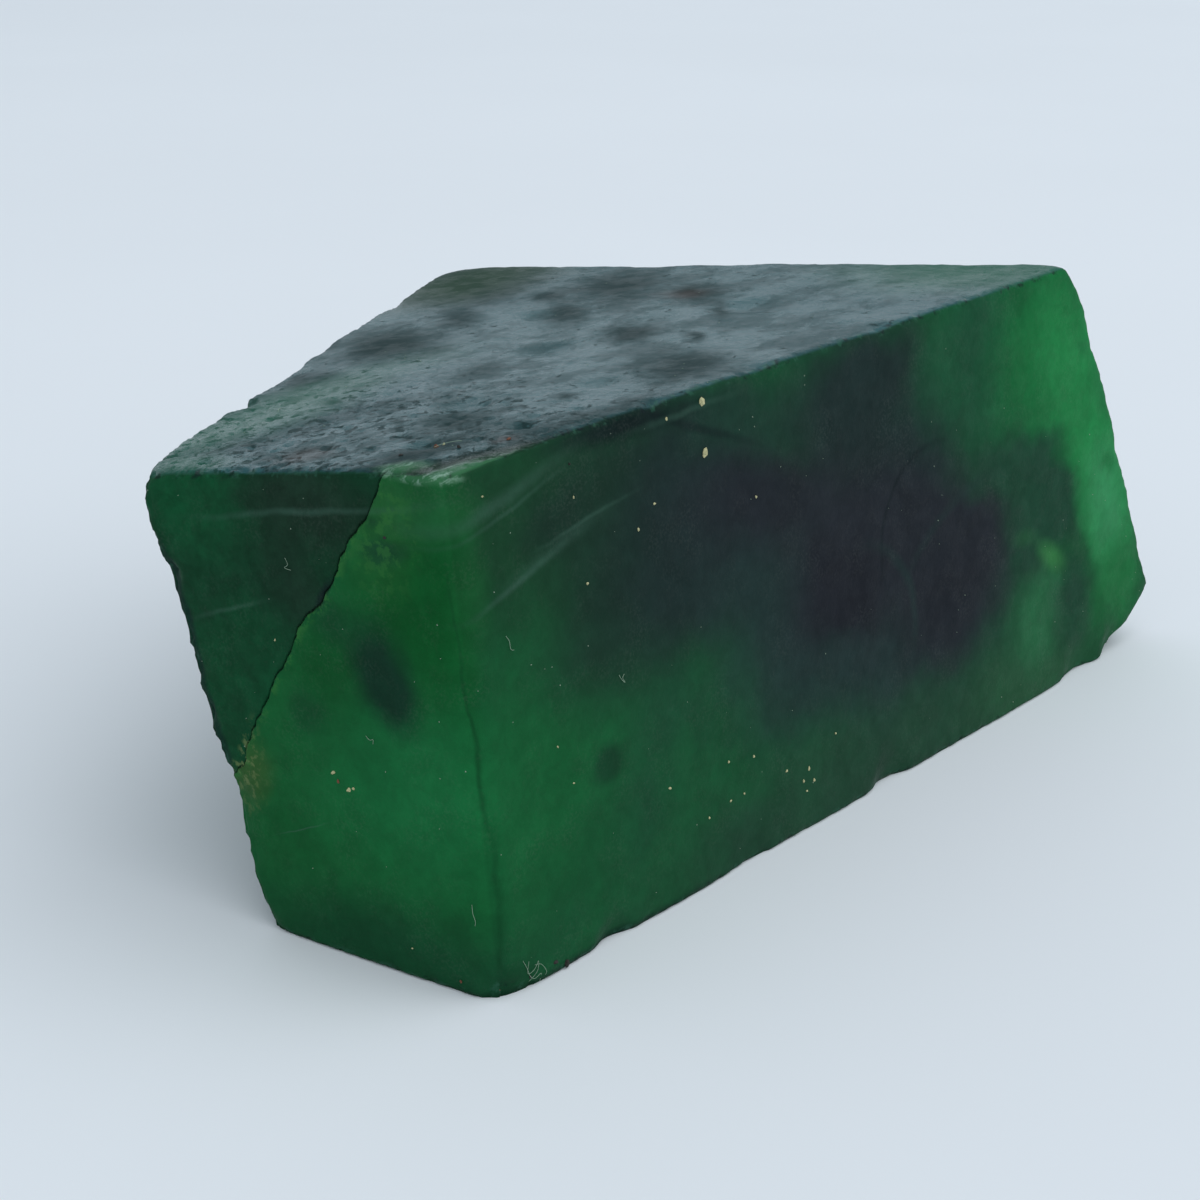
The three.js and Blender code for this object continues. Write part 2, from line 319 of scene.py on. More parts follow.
    def outward(self, points: np.ndarray, step: np.ndarray | float = 0.0) -> np.ndarray:
        """Unit normals of the skin at every point.

        Args:
            points: Positions in millimetres, one per row.
            step: How far the end face lies below its plane at each point.

        Returns:
            One unit vector for each point.
        """
        reach = 0.02
        slope = np.stack(
            [
                self.skin(points + axis * reach, step) - self.skin(points - axis * reach, step)
                for axis in np.eye(3)
            ],
            axis=1,
        )
        return slope / np.linalg.norm(slope, axis=1, keepdims=True)

    def press(self, points: np.ndarray, step: np.ndarray | float = 0.0, rounds: int = 4) -> np.ndarray:
        """Moves points that are close to the skin onto it.

        Args:
            points: Positions in millimetres, one per row.
            step: How far the end face lies below its plane at each point.
            rounds: How many times each point is moved.

        Returns:
            The moved points.
        """
        placed = points.copy()
        for _ in range(rounds):
            placed -= self.outward(placed, step) * self.skin(placed, step)[:, None]
        return placed


@dataclass
class Crack:
    """The jagged crack across the end face, as (distance back from the front corner, height)."""

    block: RoughBlock
    width: float = 0.05
    depth: float = 0.26
    step: float = 0.06
    jag: float = 0.3
    jitter: float = 0.075
    zone_depth: float = 0.9
    step_fade: Pair = (4.6, 5.8)
    narrowing: Pair = (9.5, 5.5)
    shallowing: Pair = (8.0, 5.4)
    seed: int = 11
    run: tuple[Pair, ...] = (
        (4.1, 20.2), (4.2, 18.8), (4.8, 17.3), (5.3, 16.8), (6.0, 15.8), (6.3, 15.0), (6.9, 14.1),
        (7.2, 13.6), (7.8, 13.1), (8.2, 12.5), (8.6, 11.6), (9.1, 10.8), (9.8, 9.6), (10.2, 9.0),
        (10.7, 8.0), (11.3, 6.5), (12.6, 5.2),
    )
    line: np.ndarray = field(init=False)
    inward: np.ndarray = field(init=False)
    sideways: np.ndarray = field(init=False)
    upward: np.ndarray = field(init=False)

    def __post_init__(self) -> None:
        """Breaks the run into short jagged lengths."""
        chance = random.Random(self.seed)
        outward = self.block.plane[Face.END].normal
        forward = np.cross([0.0, 0.0, 1.0], outward)
        forward /= np.linalg.norm(forward)
        self.inward, self.sideways, self.upward = -outward, -forward, np.cross(outward, forward)
        line = [self.run[0]]
        for (back_a, high_a), (back_b, high_b) in zip(self.run, self.run[1:]):
            pieces = max(2, round(math.hypot(back_b - back_a, high_b - high_a) / self.jag))
            for piece in range(1, pieces + 1):
                t = piece / pieces
                line.append((
                    back_a + (back_b - back_a) * t + chance.uniform(-1, 1) * self.jitter,
                    high_a + (high_b - high_a) * t,
                ))
        self.line = np.array(line)

    def flat(self, points: np.ndarray) -> np.ndarray:
        """Points as (back, height) on the end face."""
        return np.stack([points @ self.sideways, points @ self.upward], axis=1)

    def side(self, points: np.ndarray) -> np.ndarray:
        """Signed distance to the crack along the end face, positive in the wedge to its left.

        Args:
            points: Positions in millimetres, one per row.

        Returns:
            Distances in millimetres.
        """
        flat = self.flat(points)
        nearest = np.full(len(flat), 1e9)
        for start, end in zip(self.line, self.line[1:]):
            along = end - start
            t = np.clip((flat - start) @ along / (along @ along), 0.0, 1.0)
            nearest = np.minimum(nearest, np.linalg.norm(flat - start - t[:, None] * along, axis=1))
        crack_back = np.interp(-flat[:, 1], -self.line[:, 1], self.line[:, 0])
        return np.where(flat[:, 0] > crack_back, nearest, -nearest)

    def wedge_step(self, points: np.ndarray) -> np.ndarray:
        """How far the wedge to the left of the crack lies below the end face."""
        height = self.flat(points)[:, 1]
        return self.step * ramp(self.side(points), -0.03, 0.03) * ramp(height, *self.step_fade)

    def groove(self, points: np.ndarray) -> np.ndarray:
        """Depth of the open crack at every point.

        Args:
            points: Positions in millimetres, one per row.

        Returns:
            Depths in millimetres.
        """
        height = self.flat(points)[:, 1]
        half = self.width * 0.5 * (1.0 - 0.55 * ramp(height, *self.narrowing))
        half = half * (0.7 + 0.6 * np.abs(fractal(points, 0.7, 2, 8.8)))
        close = 1.0 - np.clip(np.abs(self.side(points)) / (half * 1.5), 0.0, 1.0) ** 2
        near_end = ramp(self.block.plane[Face.END].distance(points), -self.zone_depth, -0.4)
        return self.depth * close * near_end * (1.0 - 0.5 * ramp(height, *self.shallowing))


@dataclass
class Stone:
    """The stone itself: a fine skin with its crack, chips and pits, and its cloudy green finish."""

    block: RoughBlock
    crack: Crack
    segments: tuple[int, int, int] = (190, 84, 78)
    edge_lines: tuple[float, ...] = (0.0, 0.05, 0.12, 0.2, 0.3, 0.42, 0.56, 0.74)
    depth_for_lines: float = 17.0
    core: Pair = (0.2, 0.8)
    search: Pair = (0.3, 1.6)
    search_rounds: int = 26
    refine_within: float = 0.34
    refine_cuts: int = 3
    seam_depth: float = 0.09
    crack_reach: float = 6.0

    def grid_line(self, count: int, length: float) -> np.ndarray:
        """Positions from 0 to 1 of one side's mesh lines, close together near both ends.

        Args:
            count: Number of steps.
            length: Length of the side, in millimetres.

        Returns:
            The positions, in order.
        """
        edge = np.array(self.edge_lines) / length
        last = len(edge) - 1
        middle = np.linspace(edge[last], 1.0 - edge[last], count - 2 * last + 1)
        return np.concatenate([edge[:last], middle, 1.0 - edge[:last][::-1]])

    def block_points(self, share: np.ndarray) -> np.ndarray:
        """Points inside the eight-cornered block, from three shares between 0 and 1.

        Args:
            share: Three shares for each point, one point per row.

        Returns:
            Positions in millimetres.
        """
        u, v, w = (share[:, [axis]] for axis in range(3))
        corner = self.block.corner

        def sheet(level: str) -> np.ndarray:
            """Points on the foot or the rim.

            Args:
                level: "foot" or "rim".

            Returns:
                Positions in millimetres.
            """
            front = corner[f"front_{level}"] * (1 - u) + corner[f"right_{level}"] * u
            rear = corner[f"left_{level}"] * (1 - u) + corner[f"back_{level}"] * u
            return front * (1 - v) + rear * v

        return sheet("foot") * (1 - w) + sheet("rim") * w

    def lattice(self) -> tuple[np.ndarray, list[tuple[int, ...]]]:
        """Lines of the box grid.

        Returns:
            Shares between 0 and 1 of every point of the box's surface, and its outward quads.
        """
        counts = self.segments
        lengths = (self.block.foot_length, self.depth_for_lines, self.block.front_height)
        lines = [self.grid_line(count, length) for count, length in zip(counts, lengths)]
        index = np.indices([count + 1 for count in counts]).reshape(3, -1).T
        outer = np.any((index == 0) | (index == np.array(counts)), axis=1)
        number = np.full(len(index), -1)
        number[outer] = np.arange(outer.sum())
        number = number.reshape([count + 1 for count in counts])
        chosen = index[outer]
        shares = np.stack([lines[axis][chosen[:, axis]] for axis in range(3)], axis=1)
        quads: list[np.ndarray] = []
        for axis in range(3):
            for end in (0, counts[axis]):
                sheet = np.take(number, end, axis=axis)
                quad = np.stack([sheet[:-1, :-1], sheet[1:, :-1], sheet[1:, 1:], sheet[:-1, 1:]], axis=-1)
                outward = (end > 0) == (axis != 1)
                quads.append(quad.reshape(-1, 4) if outward else quad.reshape(-1, 4)[:, ::-1])
        return shares, [tuple(row) for row in np.concatenate(quads).tolist()]

    def cast(self, shares: np.ndarray) -> np.ndarray:
        """Points where rays from the core, through the block's surface, meet the skin.

        Args:
            shares: Three shares for each point of the box's surface.

        Returns:
            Points on the skin, in millimetres.
        """
        target = self.block_points(shares)
        anchor = self.block_points(np.clip(shares, *self.core))
        inside, outside = (np.full(len(shares), limit) for limit in self.search)
        for _ in range(self.search_rounds):
            middle = (inside + outside) / 2
            beyond = self.block.skin(anchor + (target - anchor) * middle[:, None]) > 0
            outside = np.where(beyond, middle, outside)
            inside = np.where(beyond, inside, middle)
        return anchor + (target - anchor) * ((inside + outside) / 2)[:, None]

    def refined(self, points: np.ndarray, quads: list[tuple[int, ...]]) -> Mesh:
        """Mesh of the skin with extra lines close to the crack.

        Args:
            points: Points on the skin, in millimetres.
            quads: Faces between them.

        Returns:
            The mesh, in millimetres.
        """
        mesh = bpy.data.meshes.new("skin")
        mesh.from_pydata(points.tolist(), [], quads)
        work = bmesh.new()
        work.from_mesh(mesh)
        near = (np.abs(self.crack.side(points)) < self.refine_within) & (
            self.block.plane[Face.END].distance(points) > -self.crack.zone_depth
        )
        work.verts.ensure_lookup_table()
        edges = [edge for edge in work.edges if near[edge.verts[0].index] and near[edge.verts[1].index]]
        bmesh.ops.subdivide_edges(work, edges=edges, cuts=self.refine_cuts, use_grid_fill=True)
        bmesh.ops.triangulate(work, faces=[face for face in work.faces if len(face.verts) > 4])
        work.to_mesh(mesh)
        work.free()
        return mesh

    def face_masks(self, points: np.ndarray) -> dict[str, np.ndarray]:
        """How much each point belongs to each kind of face, and how close to an edge it is.

        Args:
            points: Points on the skin, in millimetres.

        Returns:
            Values between 0 and 1 for each point, by name.
        """
        away = self.block.faces(points)
        stack = np.sort(np.stack(list(away.values())), axis=0)
        masks = {}
        for face, distance in away.items():
            others = np.max(np.stack([d for other, d in away.items() if other is not face]), axis=0)
            masks[face.value] = ramp(distance - others, -0.12, 0.12)
        masks["broken"] = np.clip(masks["left_back"] + masks["right"], 0.0, 1.0)
        masks["edge"] = 1.0 - ramp(stack[-1] - stack[-2], 0.05, 0.9)
        upright = 1.0 - ramp(np.abs(away[Face.END] - away[Face.LONG]), 0.1, 1.2)
        upright *= ramp(np.maximum(away[Face.END], away[Face.LONG]) - stack[-3], 0.2, 1.0)
        masks["edge"] *= 1.0 - 0.9 * upright
        rim = self.block.cuts[0].distance(points)
        masks["bevel"] = ramp(rim - np.maximum(away[Face.TOP], np.maximum(away[Face.END], away[Face.LONG])),
                              -0.06, 0.06)
        masks["bevel_line"] = 1.0 - ramp(np.abs(rim - away[Face.TOP]), 0.02, 0.16)
        masks["bevel_line"] *= ramp(np.maximum(rim, away[Face.TOP]), -0.25, -0.1)
        return masks

    def worn_depth(self, points: np.ndarray, masks: dict[str, np.ndarray]) -> np.ndarray:
        """Depth of the fine wear: chipped edges, pits in the top and the grain of broken faces.

        Args:
            points: Points on the skin, in millimetres.
            masks: The masks, by name.

        Returns:
            Depths in millimetres.
        """
        edge = masks["edge"]
        broad, small = fractal(points, 0.75, 3), fractal(points, 2.3, 3, 7.3)
        teeth = fractal(points, 3.4, 2, 12.1)
        depth = edge**2 * (0.07 * np.clip(broad, 0, 1) + 0.10 * np.clip(small - 0.05, 0, 1))
        depth += edge**2 * 0.05 * np.clip(teeth, 0, 1)
        left_edge = ramp(np.minimum(masks["edge"], masks["left_back"] + masks["end"]), 0.3, 0.9)
        left_edge *= ramp(points[:, 0], 3.0, -1.0) * ramp(points[:, 1], 9.0, 12.0)
        depth += left_edge * (0.04 * fractal(points, 0.9, 2, 3.1) + 0.08 * np.clip(teeth, -0.2, 1))
        lumps, pits = fractal(points, 0.55, 4, 1.7), fractal(points, 1.7, 2, 5.9)
        rough_rim = ramp(points[:, 0], 16.0, 1.0)
        depth += masks["top"] * (0.012 * lumps + (0.03 + 0.12 * rough_rim) * np.clip(pits - 0.3, 0, 1) * 2)
        depth += masks["top"] * rough_rim * 0.02 * small
        hackle = 1.0 - np.abs(fractal(points * np.array([0.6, 0.6, 1.5]), 0.7, 4, 9.1))
        rugged = masks["broken"] * (1.0 - 0.8 * edge) * (1.0 - 0.7 * ramp(points[:, 2], 14.6, 16.4))
        depth += rugged * (0.10 * fractal(points, 0.5, 5, 2.2) + 0.16 * (1.0 - hackle))
        depth += (masks["long"] + masks["end"]) * 0.012 * fractal(points, 0.8, 3, 4.4)
        return depth

    def build(self, finish: Material) -> Object:
        """Builds the skin as one closed mesh with its masks and broad colours as attributes.

        Args:
            finish: The stone's material.

        Returns:
            The stone's object, in metres in the part's frame.
        """
        shares, quads = self.lattice()
        mesh = self.refined(self.cast(shares), quads)
        points = np.empty(len(mesh.vertices) * 3)
        mesh.vertices.foreach_get("co", points)
        points = points.reshape(-1, 3)

        step = self.crack.wedge_step(points)
        points = self.block.press(points, step)
        masks = self.face_masks(points)
        outward = self.block.outward(points, step)
        points -= outward * self.worn_depth(points, masks)[:, None]
        points += self.crack.inward * self.crack.groove(points)[:, None]
        points -= outward * (self.seam_depth * masks["bevel_line"])[:, None]
        points[:, 2] = np.maximum(points[:, 2], 0.0)
        on_foot = masks["foot"] > 0.98
        points[on_foot, 2] = 0.0

        masks["crack"] = np.clip(self.crack.side(points), -self.crack_reach, self.crack_reach)
        mesh.vertices.foreach_set("co", to_part(points).ravel())
        for name, values in masks.items():
            mesh.attributes.new(f"stone_{name}", "FLOAT", "POINT").data.foreach_set("value", values)
        mesh.polygons.foreach_set("use_smooth", np.ones(len(mesh.polygons), dtype=bool))
        mesh.update()
        stone = TintTree().run("emerald_stone", mesh, finish, {})
        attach(stone, BODY)
        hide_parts(NODE)
        return stone


# ---------------------------------------------------------------- node sheets


class NodeSheet:
    """Adds nodes to one tree and joins them, taking sockets and plain values alike."""

    def __init__(self, tree: NodeTree) -> None:
        """Keeps the tree that nodes are added to."""
        self.tree = tree

    def feed(self, socket: NodeSocket, value: Any) -> None:
        """Joins a socket to another, or sets its value.

        Args:
            socket: The input to feed.
            value: Another socket, or a plain value.
        """
        if isinstance(value, NodeSocket):
            self.tree.links.new(value, socket)
        elif socket.type == "RGBA" and len(value) == 3:
            socket.default_value = (*value, 1.0)
        else:
            socket.default_value = value

    def add(self, kind: str, inputs: dict[Any, Any] | None = None, **settings: Any) -> Node:
        """Adds one node.

        Args:
            kind: The node's type name.
            inputs: Values or sockets for its inputs, by name or number.
            **settings: Properties of the node.

        Returns:
            The new node.
        """
        node = self.tree.nodes.new(kind)
        for name, value in settings.items():
            setattr(node, name, value)
        for key, value in (inputs or {}).items():
            self.feed(node.inputs[key], value)
        return node

    def math(self, operation: str, a: Any, b: Any = 0.0, clamp: bool = False) -> NodeSocket:
        """Result of one Math node."""
        return self.add("ShaderNodeMath", {0: a, 1: b}, operation=operation, use_clamp=clamp).outputs[0]

    def times(self, *factors: Any) -> NodeSocket:
        """Product of two or more values."""
        return reduce(lambda a, b: self.math("MULTIPLY", a, b), factors)

    def vector(self, operation: str, a: Any, b: Any) -> NodeSocket:
        """Vector result of one Vector Math node."""
        return self.add("ShaderNodeVectorMath", {0: a, 1: b}, operation=operation).outputs[0]

    def scaled(self, at: Any, scale: Any, shift: Any) -> NodeSocket:
        """Vector times a scale, plus a shift."""
        return self.add("ShaderNodeVectorMath", {0: at, 1: scale, 2: shift},
                        operation="MULTIPLY_ADD").outputs[0]

    def length(self, a: Any) -> NodeSocket:
        """Length of a vector."""
        return self.add("ShaderNodeVectorMath", {0: a}, operation="LENGTH").outputs["Value"]

    def dot(self, a: Any, b: Any) -> NodeSocket:
        """Dot product of two vectors."""
        return self.add("ShaderNodeVectorMath", {0: a, 1: b}, operation="DOT_PRODUCT").outputs["Value"]

    def blend(self, factor: Any, a: Any, b: Any, blend_type: str = "MIX") -> NodeSocket:
        """Mix of two colours."""
        return self.add("ShaderNodeMix", {0: factor, 6: a, 7: b}, data_type="RGBA",
                        blend_type=blend_type).outputs[2]

    def shaded(self, colour: Any, factor: Any, dark: float, light: float) -> NodeSocket:
        """Colour made darker or lighter by a factor between 0 and 1."""
        return self.blend(1.0, colour, self.blend(factor, (dark,) * 3, (light,) * 3), "MULTIPLY")

    def level(self, factor: Any, a: Any, b: Any) -> NodeSocket:
        """Mix of two numbers."""
        return self.add("ShaderNodeMix", {0: factor, 2: a, 3: b}, data_type="FLOAT").outputs[0]

    def ramp(self, value: Any, low: Any, high: Any, start: Any = 0.0, end: Any = 1.0) -> NodeSocket:
        """Smooth ramp from `start` to `end` while the value goes from `low` to `high`."""
        return self.add("ShaderNodeMapRange", {0: value, 1: low, 2: high, 3: start, 4: end},
                        interpolation_type="SMOOTHSTEP", clamp=False).outputs[0]

    def cloud(self, at: Any, scale: float, detail: float = 3.0, rough: float = 0.55,
              colour: bool = False) -> NodeSocket:
        """Noise at a position, as a value or as a colour.

        Args:
            at: Position socket.
            scale: Features per unit of length.
            detail: Number of octaves.
            rough: Share that each octave keeps.
            colour: Whether three channels are wanted.

        Returns:
            The noise.
        """
        node = self.add("ShaderNodeTexNoise", {"Vector": at, "Scale": scale, "Detail": detail,
                                               "Roughness": rough})
        return node.outputs["Color" if colour else "Fac"]

    def warped(self, at: Any, scale: float, reach: float, detail: float = 3.0) -> NodeSocket:
        """Position pushed about by noise."""
        push = self.vector("SUBTRACT", self.cloud(at, scale, detail, 0.6, colour=True), (0.5,) * 3)
        return self.vector("ADD", at, self.vector("MULTIPLY", push, (reach,) * 3))

    def shade(self, inputs: dict[str, Any]) -> None:
        """Ends a material's sheet with its shader."""
        shader = self.add("ShaderNodeBsdfPrincipled", inputs)
        self.feed(self.add("ShaderNodeOutputMaterial").inputs[0], shader.outputs[0])

    def mask(self, name: str, output: str = "Fac") -> NodeSocket:
        """One of the stone's own masks or colours."""
        return self.add("ShaderNodeAttribute", attribute_name=f"stone_{name}").outputs[output]


def new_group(name: str, inputs: dict[str, tuple[str, Any]], outputs: dict[str, str],
              kind: str = "ShaderNodeTree") -> tuple[NodeSheet, dict[str, Any], Node]:
    """Starts a node group with named inputs and outputs.

    Args:
        name: The group's name.
        inputs: Socket type and default value of each input, by name.
        outputs: Socket type of each output, by name.
        kind: Type of tree.

    Returns:
        The group's sheet, its input sockets by name, and its output node.
    """
    tree = bpy.data.node_groups.new(name, kind)
    for title, (socket_type, value) in inputs.items():
        socket = tree.interface.new_socket(name=title, in_out="INPUT", socket_type=socket_type)
        if value is not None:
            socket.default_value = value
    for title, socket_type in outputs.items():
        tree.interface.new_socket(name=title, in_out="OUTPUT", socket_type=socket_type)
    sheet = NodeSheet(tree)
    entry = sheet.add("NodeGroupInput")
    return sheet, {title: entry.outputs[title] for title in inputs}, sheet.add("NodeGroupOutput")


def new_material(name: str) -> tuple[Material, NodeSheet, NodeSocket]:
    """Starts a material made of nodes.

    Args:
        name: The material's name.

    Returns:
        The material, its sheet, and the object's own coordinates in metres.
    """
    material = bpy.data.materials.new(name)
    material.use_nodes = True
    sheet = NodeSheet(material.node_tree)
    sheet.tree.nodes.clear()
    return material, sheet, sheet.add("ShaderNodeTexCoord").outputs["Object"]


FLOAT, VECTOR, COLOUR = "NodeSocketFloat", "NodeSocketVector", "NodeSocketColor"


class ZoneKit:
    """Node groups for soft zones, and the ways to lay them, in shader trees or in geometry trees."""

    def __init__(self, kind: str = "ShaderNodeTree") -> None:
        """Builds the two zone groups.

        Args:
            kind: Type of tree.
        """
        self.kind = kind
        self.zone = self._zone()
        self.turned_zone = self._turned_zone()

    def _zone(self) -> NodeTree:
        """Soft-edged ellipsoid in line with the axes: its strength in the middle, 0 outside.

        Returns:
            The group.
        """
        sheet, port, out = new_group(
            "Soft zone",
            {"Position": (VECTOR, None), "Scale": (VECTOR, (1.0, 1.0, 1.0)), "Shift": (VECTOR, None),
             "Outer": (FLOAT, 1.5), "Inner": (FLOAT, 0.5), "Strength": (FLOAT, 1.0)},
            {"Mask": FLOAT}, self.kind,
        )
        local = sheet.scaled(port["Position"], port["Scale"], port["Shift"])
        sheet.feed(out.inputs["Mask"], self.faded(sheet, port, local))
        return sheet.tree

    def _turned_zone(self) -> NodeTree:
        """Soft-edged ellipsoid with axes of its own: its strength in the middle, 0 outside.

        Returns:
            The group.
        """
        sheet, port, out = new_group(
            "Turned zone",
            {"Position": (VECTOR, None), "Centre": (VECTOR, None), "Along": (VECTOR, (1.0, 0.0, 0.0)),
             "Across": (VECTOR, (0.0, 1.0, 0.0)), "Up": (VECTOR, (0.0, 0.0, 1.0)),
             "Outer": (FLOAT, 1.5), "Inner": (FLOAT, 0.5), "Strength": (FLOAT, 1.0)},
            {"Mask": FLOAT}, self.kind,
        )
        away = sheet.vector("SUBTRACT", port["Position"], port["Centre"])
        parts = [sheet.dot(away, port[axis]) for axis in ("Along", "Across", "Up")]
        local = sheet.add("ShaderNodeCombineXYZ", dict(enumerate(parts))).outputs[0]
        sheet.feed(out.inputs["Mask"], self.faded(sheet, port, local))
        return sheet.tree

    @staticmethod
    def faded(sheet: NodeSheet, port: dict[str, Any], local: Any) -> NodeSocket:
        """Strength that fades between a zone's inner and outer borders."""
        return sheet.ramp(sheet.length(local), port["Outer"], port["Inner"], 0.0, port["Strength"])

    def zone_mask(self, sheet: NodeSheet, at: Any, centre: Triple, reach: Triple, softness: float,
                  strength: float = 1.0, turn: Triple = (0.0, 0.0, 0.0)) -> NodeSocket:
        """Places one soft zone.

        Args:
            sheet: Sheet to place it in.
            at: Position socket.
            centre: Its middle, in millimetres.
            reach: Its half sizes, in millimetres.
            softness: Share of the reach over which it fades.
            strength: Its greatest value.
            turn: Its turn, in degrees.

        Returns:
            The zone's mask.
        """
        border = {"Position": at, "Outer": 1.0 + softness, "Inner": 1.0 - softness, "Strength": strength}
        if not any(turn):
            scale = [1.0 / size for size in reach]
            shift = [-place / size for place, size in zip(centre, reach)]
            return self.place(sheet, self.zone, {**border, "Scale": scale, "Shift": shift}).outputs["Mask"]
        axes = Euler([math.radians(angle) for angle in turn]).to_matrix().col
        along, across, up = (tuple(axis / size) for axis, size in zip(axes, reach))
        return self.place(sheet, self.turned_zone, {
            **border, "Centre": centre, "Along": along, "Across": across, "Up": up,
        }).outputs["Mask"]

    @staticmethod
    def place(sheet: NodeSheet, group: NodeTree, inputs: dict[str, Any]) -> Node:
        """Places a group in a sheet.

        Args:
            sheet: The sheet that nodes are added to.
            group: The group to place.
            inputs: Values or sockets for its inputs, by name.

        Returns:
            The new node.
        """
        kind = group.bl_idname.replace("Tree", "Group")
        node = sheet.add(kind, node_tree=group)
        for name, value in inputs.items():
            sheet.feed(node.inputs[name], value)
        return node

    def lay(self, sheet: NodeSheet, at: Any, colour: Any, zones: "Iterable[Zone]") -> Any:
        """Lays zones over a colour, one after another.

        Args:
            sheet: The sheet that nodes are added to.
            at: Position socket.
            colour: The colour so far.
            zones: The zones, lowest first.

        Returns:
            The colour.
        """
        for zone in zones:
            mask = self.zone_mask(sheet, at, zone.centre, zone.reach, zone.softness, zone.strength,
                                  zone.turn)
            colour = sheet.blend(mask, colour, zone.colour.value)
        return colour


class Groups(ZoneKit):
    """The shader node groups that the finishes share, each built once."""

    def __init__(self) -> None:
        """Builds every group."""
        super().__init__()
        self.veil = self._veil()
        self.arc = self._arc()
        self.grit = self._grit()
        self.film = self._film()

    @staticmethod
    def _veil() -> NodeTree:
        """Thin flat sheet inside the stone, fading out toward its border.

        Returns:
            The group.
        """
        sheet, port, out = new_group(
            "Veil",
            {"Position": (VECTOR, None), "Centre": (VECTOR, None), "Normal": (VECTOR, None),
             "Thickness": (FLOAT, 0.1), "Reach": (FLOAT, 4.0), "Strength": (FLOAT, 0.5)},
            {"Mask": FLOAT},
        )
        local = sheet.vector("SUBTRACT", port["Position"], port["Centre"])
        away = sheet.math("ABSOLUTE", sheet.dot(local, port["Normal"]))
        thin = sheet.ramp(away, port["Thickness"], 0.0)
        near = sheet.ramp(sheet.length(local), port["Reach"], 0.0, 0.0, port["Strength"])
        sheet.feed(out.inputs["Mask"], sheet.times(thin, near))
        return sheet.tree

    @staticmethod
    def _arc() -> NodeTree:
        """Fine ring that stands parallel to the long face.

        Returns:
            The group.
        """
        sheet, port, out = new_group(
            "Arc fracture",
            {"Position": (VECTOR, None), "Centre": (VECTOR, None), "Radius": (FLOAT, 4.0),
             "Thickness": (FLOAT, 0.2)},
            {"Mask": FLOAT},
        )
        local = sheet.vector("SUBTRACT", port["Position"], port["Centre"])
        flat = sheet.vector("MULTIPLY", local, (1.0, 0.0, 1.0))
        away = sheet.math("ABSOLUTE", sheet.math("SUBTRACT", sheet.length(flat), port["Radius"]))
        sheet.feed(out.inputs["Mask"], sheet.ramp(away, port["Thickness"], 0.0))
        return sheet.tree

    @staticmethod
    def _grit() -> NodeTree:
        """Fine uneven grain: a height for bump and a mottle for colour and roughness.

        Returns:
            The group.
        """
        sheet, port, out = new_group(
            "Grit",
            {"Position": (VECTOR, None), "Scale": (FLOAT, 3.0)},
            {"Height": FLOAT, "Mottle": FLOAT},
        )
        scaled = sheet.add("ShaderNodeVectorMath", {0: port["Position"], "Scale": port["Scale"]},
                           operation="SCALE").outputs[0]
        sheet.feed(out.inputs["Height"], sheet.cloud(scaled, 1.0, 4.0, 0.65))
        sheet.feed(out.inputs["Mottle"], sheet.ramp(sheet.cloud(scaled, 0.22, 3.0), 0.35, 0.65))
        return sheet.tree

    @staticmethod
    def _film() -> NodeTree:
        """Thin film of pale dust that gathers in patches.

        Returns:
            The group.
        """
        sheet, port, out = new_group(
            "Dust film",
            {"Position": (VECTOR, None), "Colour": (COLOUR, None), "Dust": (COLOUR, None),
             "Amount": (FLOAT, 0.2)},
            {"Colour": COLOUR, "Mask": FLOAT},
        )
        patch = sheet.ramp(sheet.cloud(port["Position"], 0.5, 4.0, 0.6), 0.42, 0.7)
        grain = sheet.ramp(sheet.cloud(port["Position"], 9.0, 2.0), 0.45, 0.65)
        amount = sheet.times(patch, grain, port["Amount"])
        sheet.feed(out.inputs["Colour"], sheet.blend(amount, port["Colour"], port["Dust"]))
        sheet.feed(out.inputs["Mask"], amount)
        return sheet.tree


# ---------------------------------------------------------------- finishes


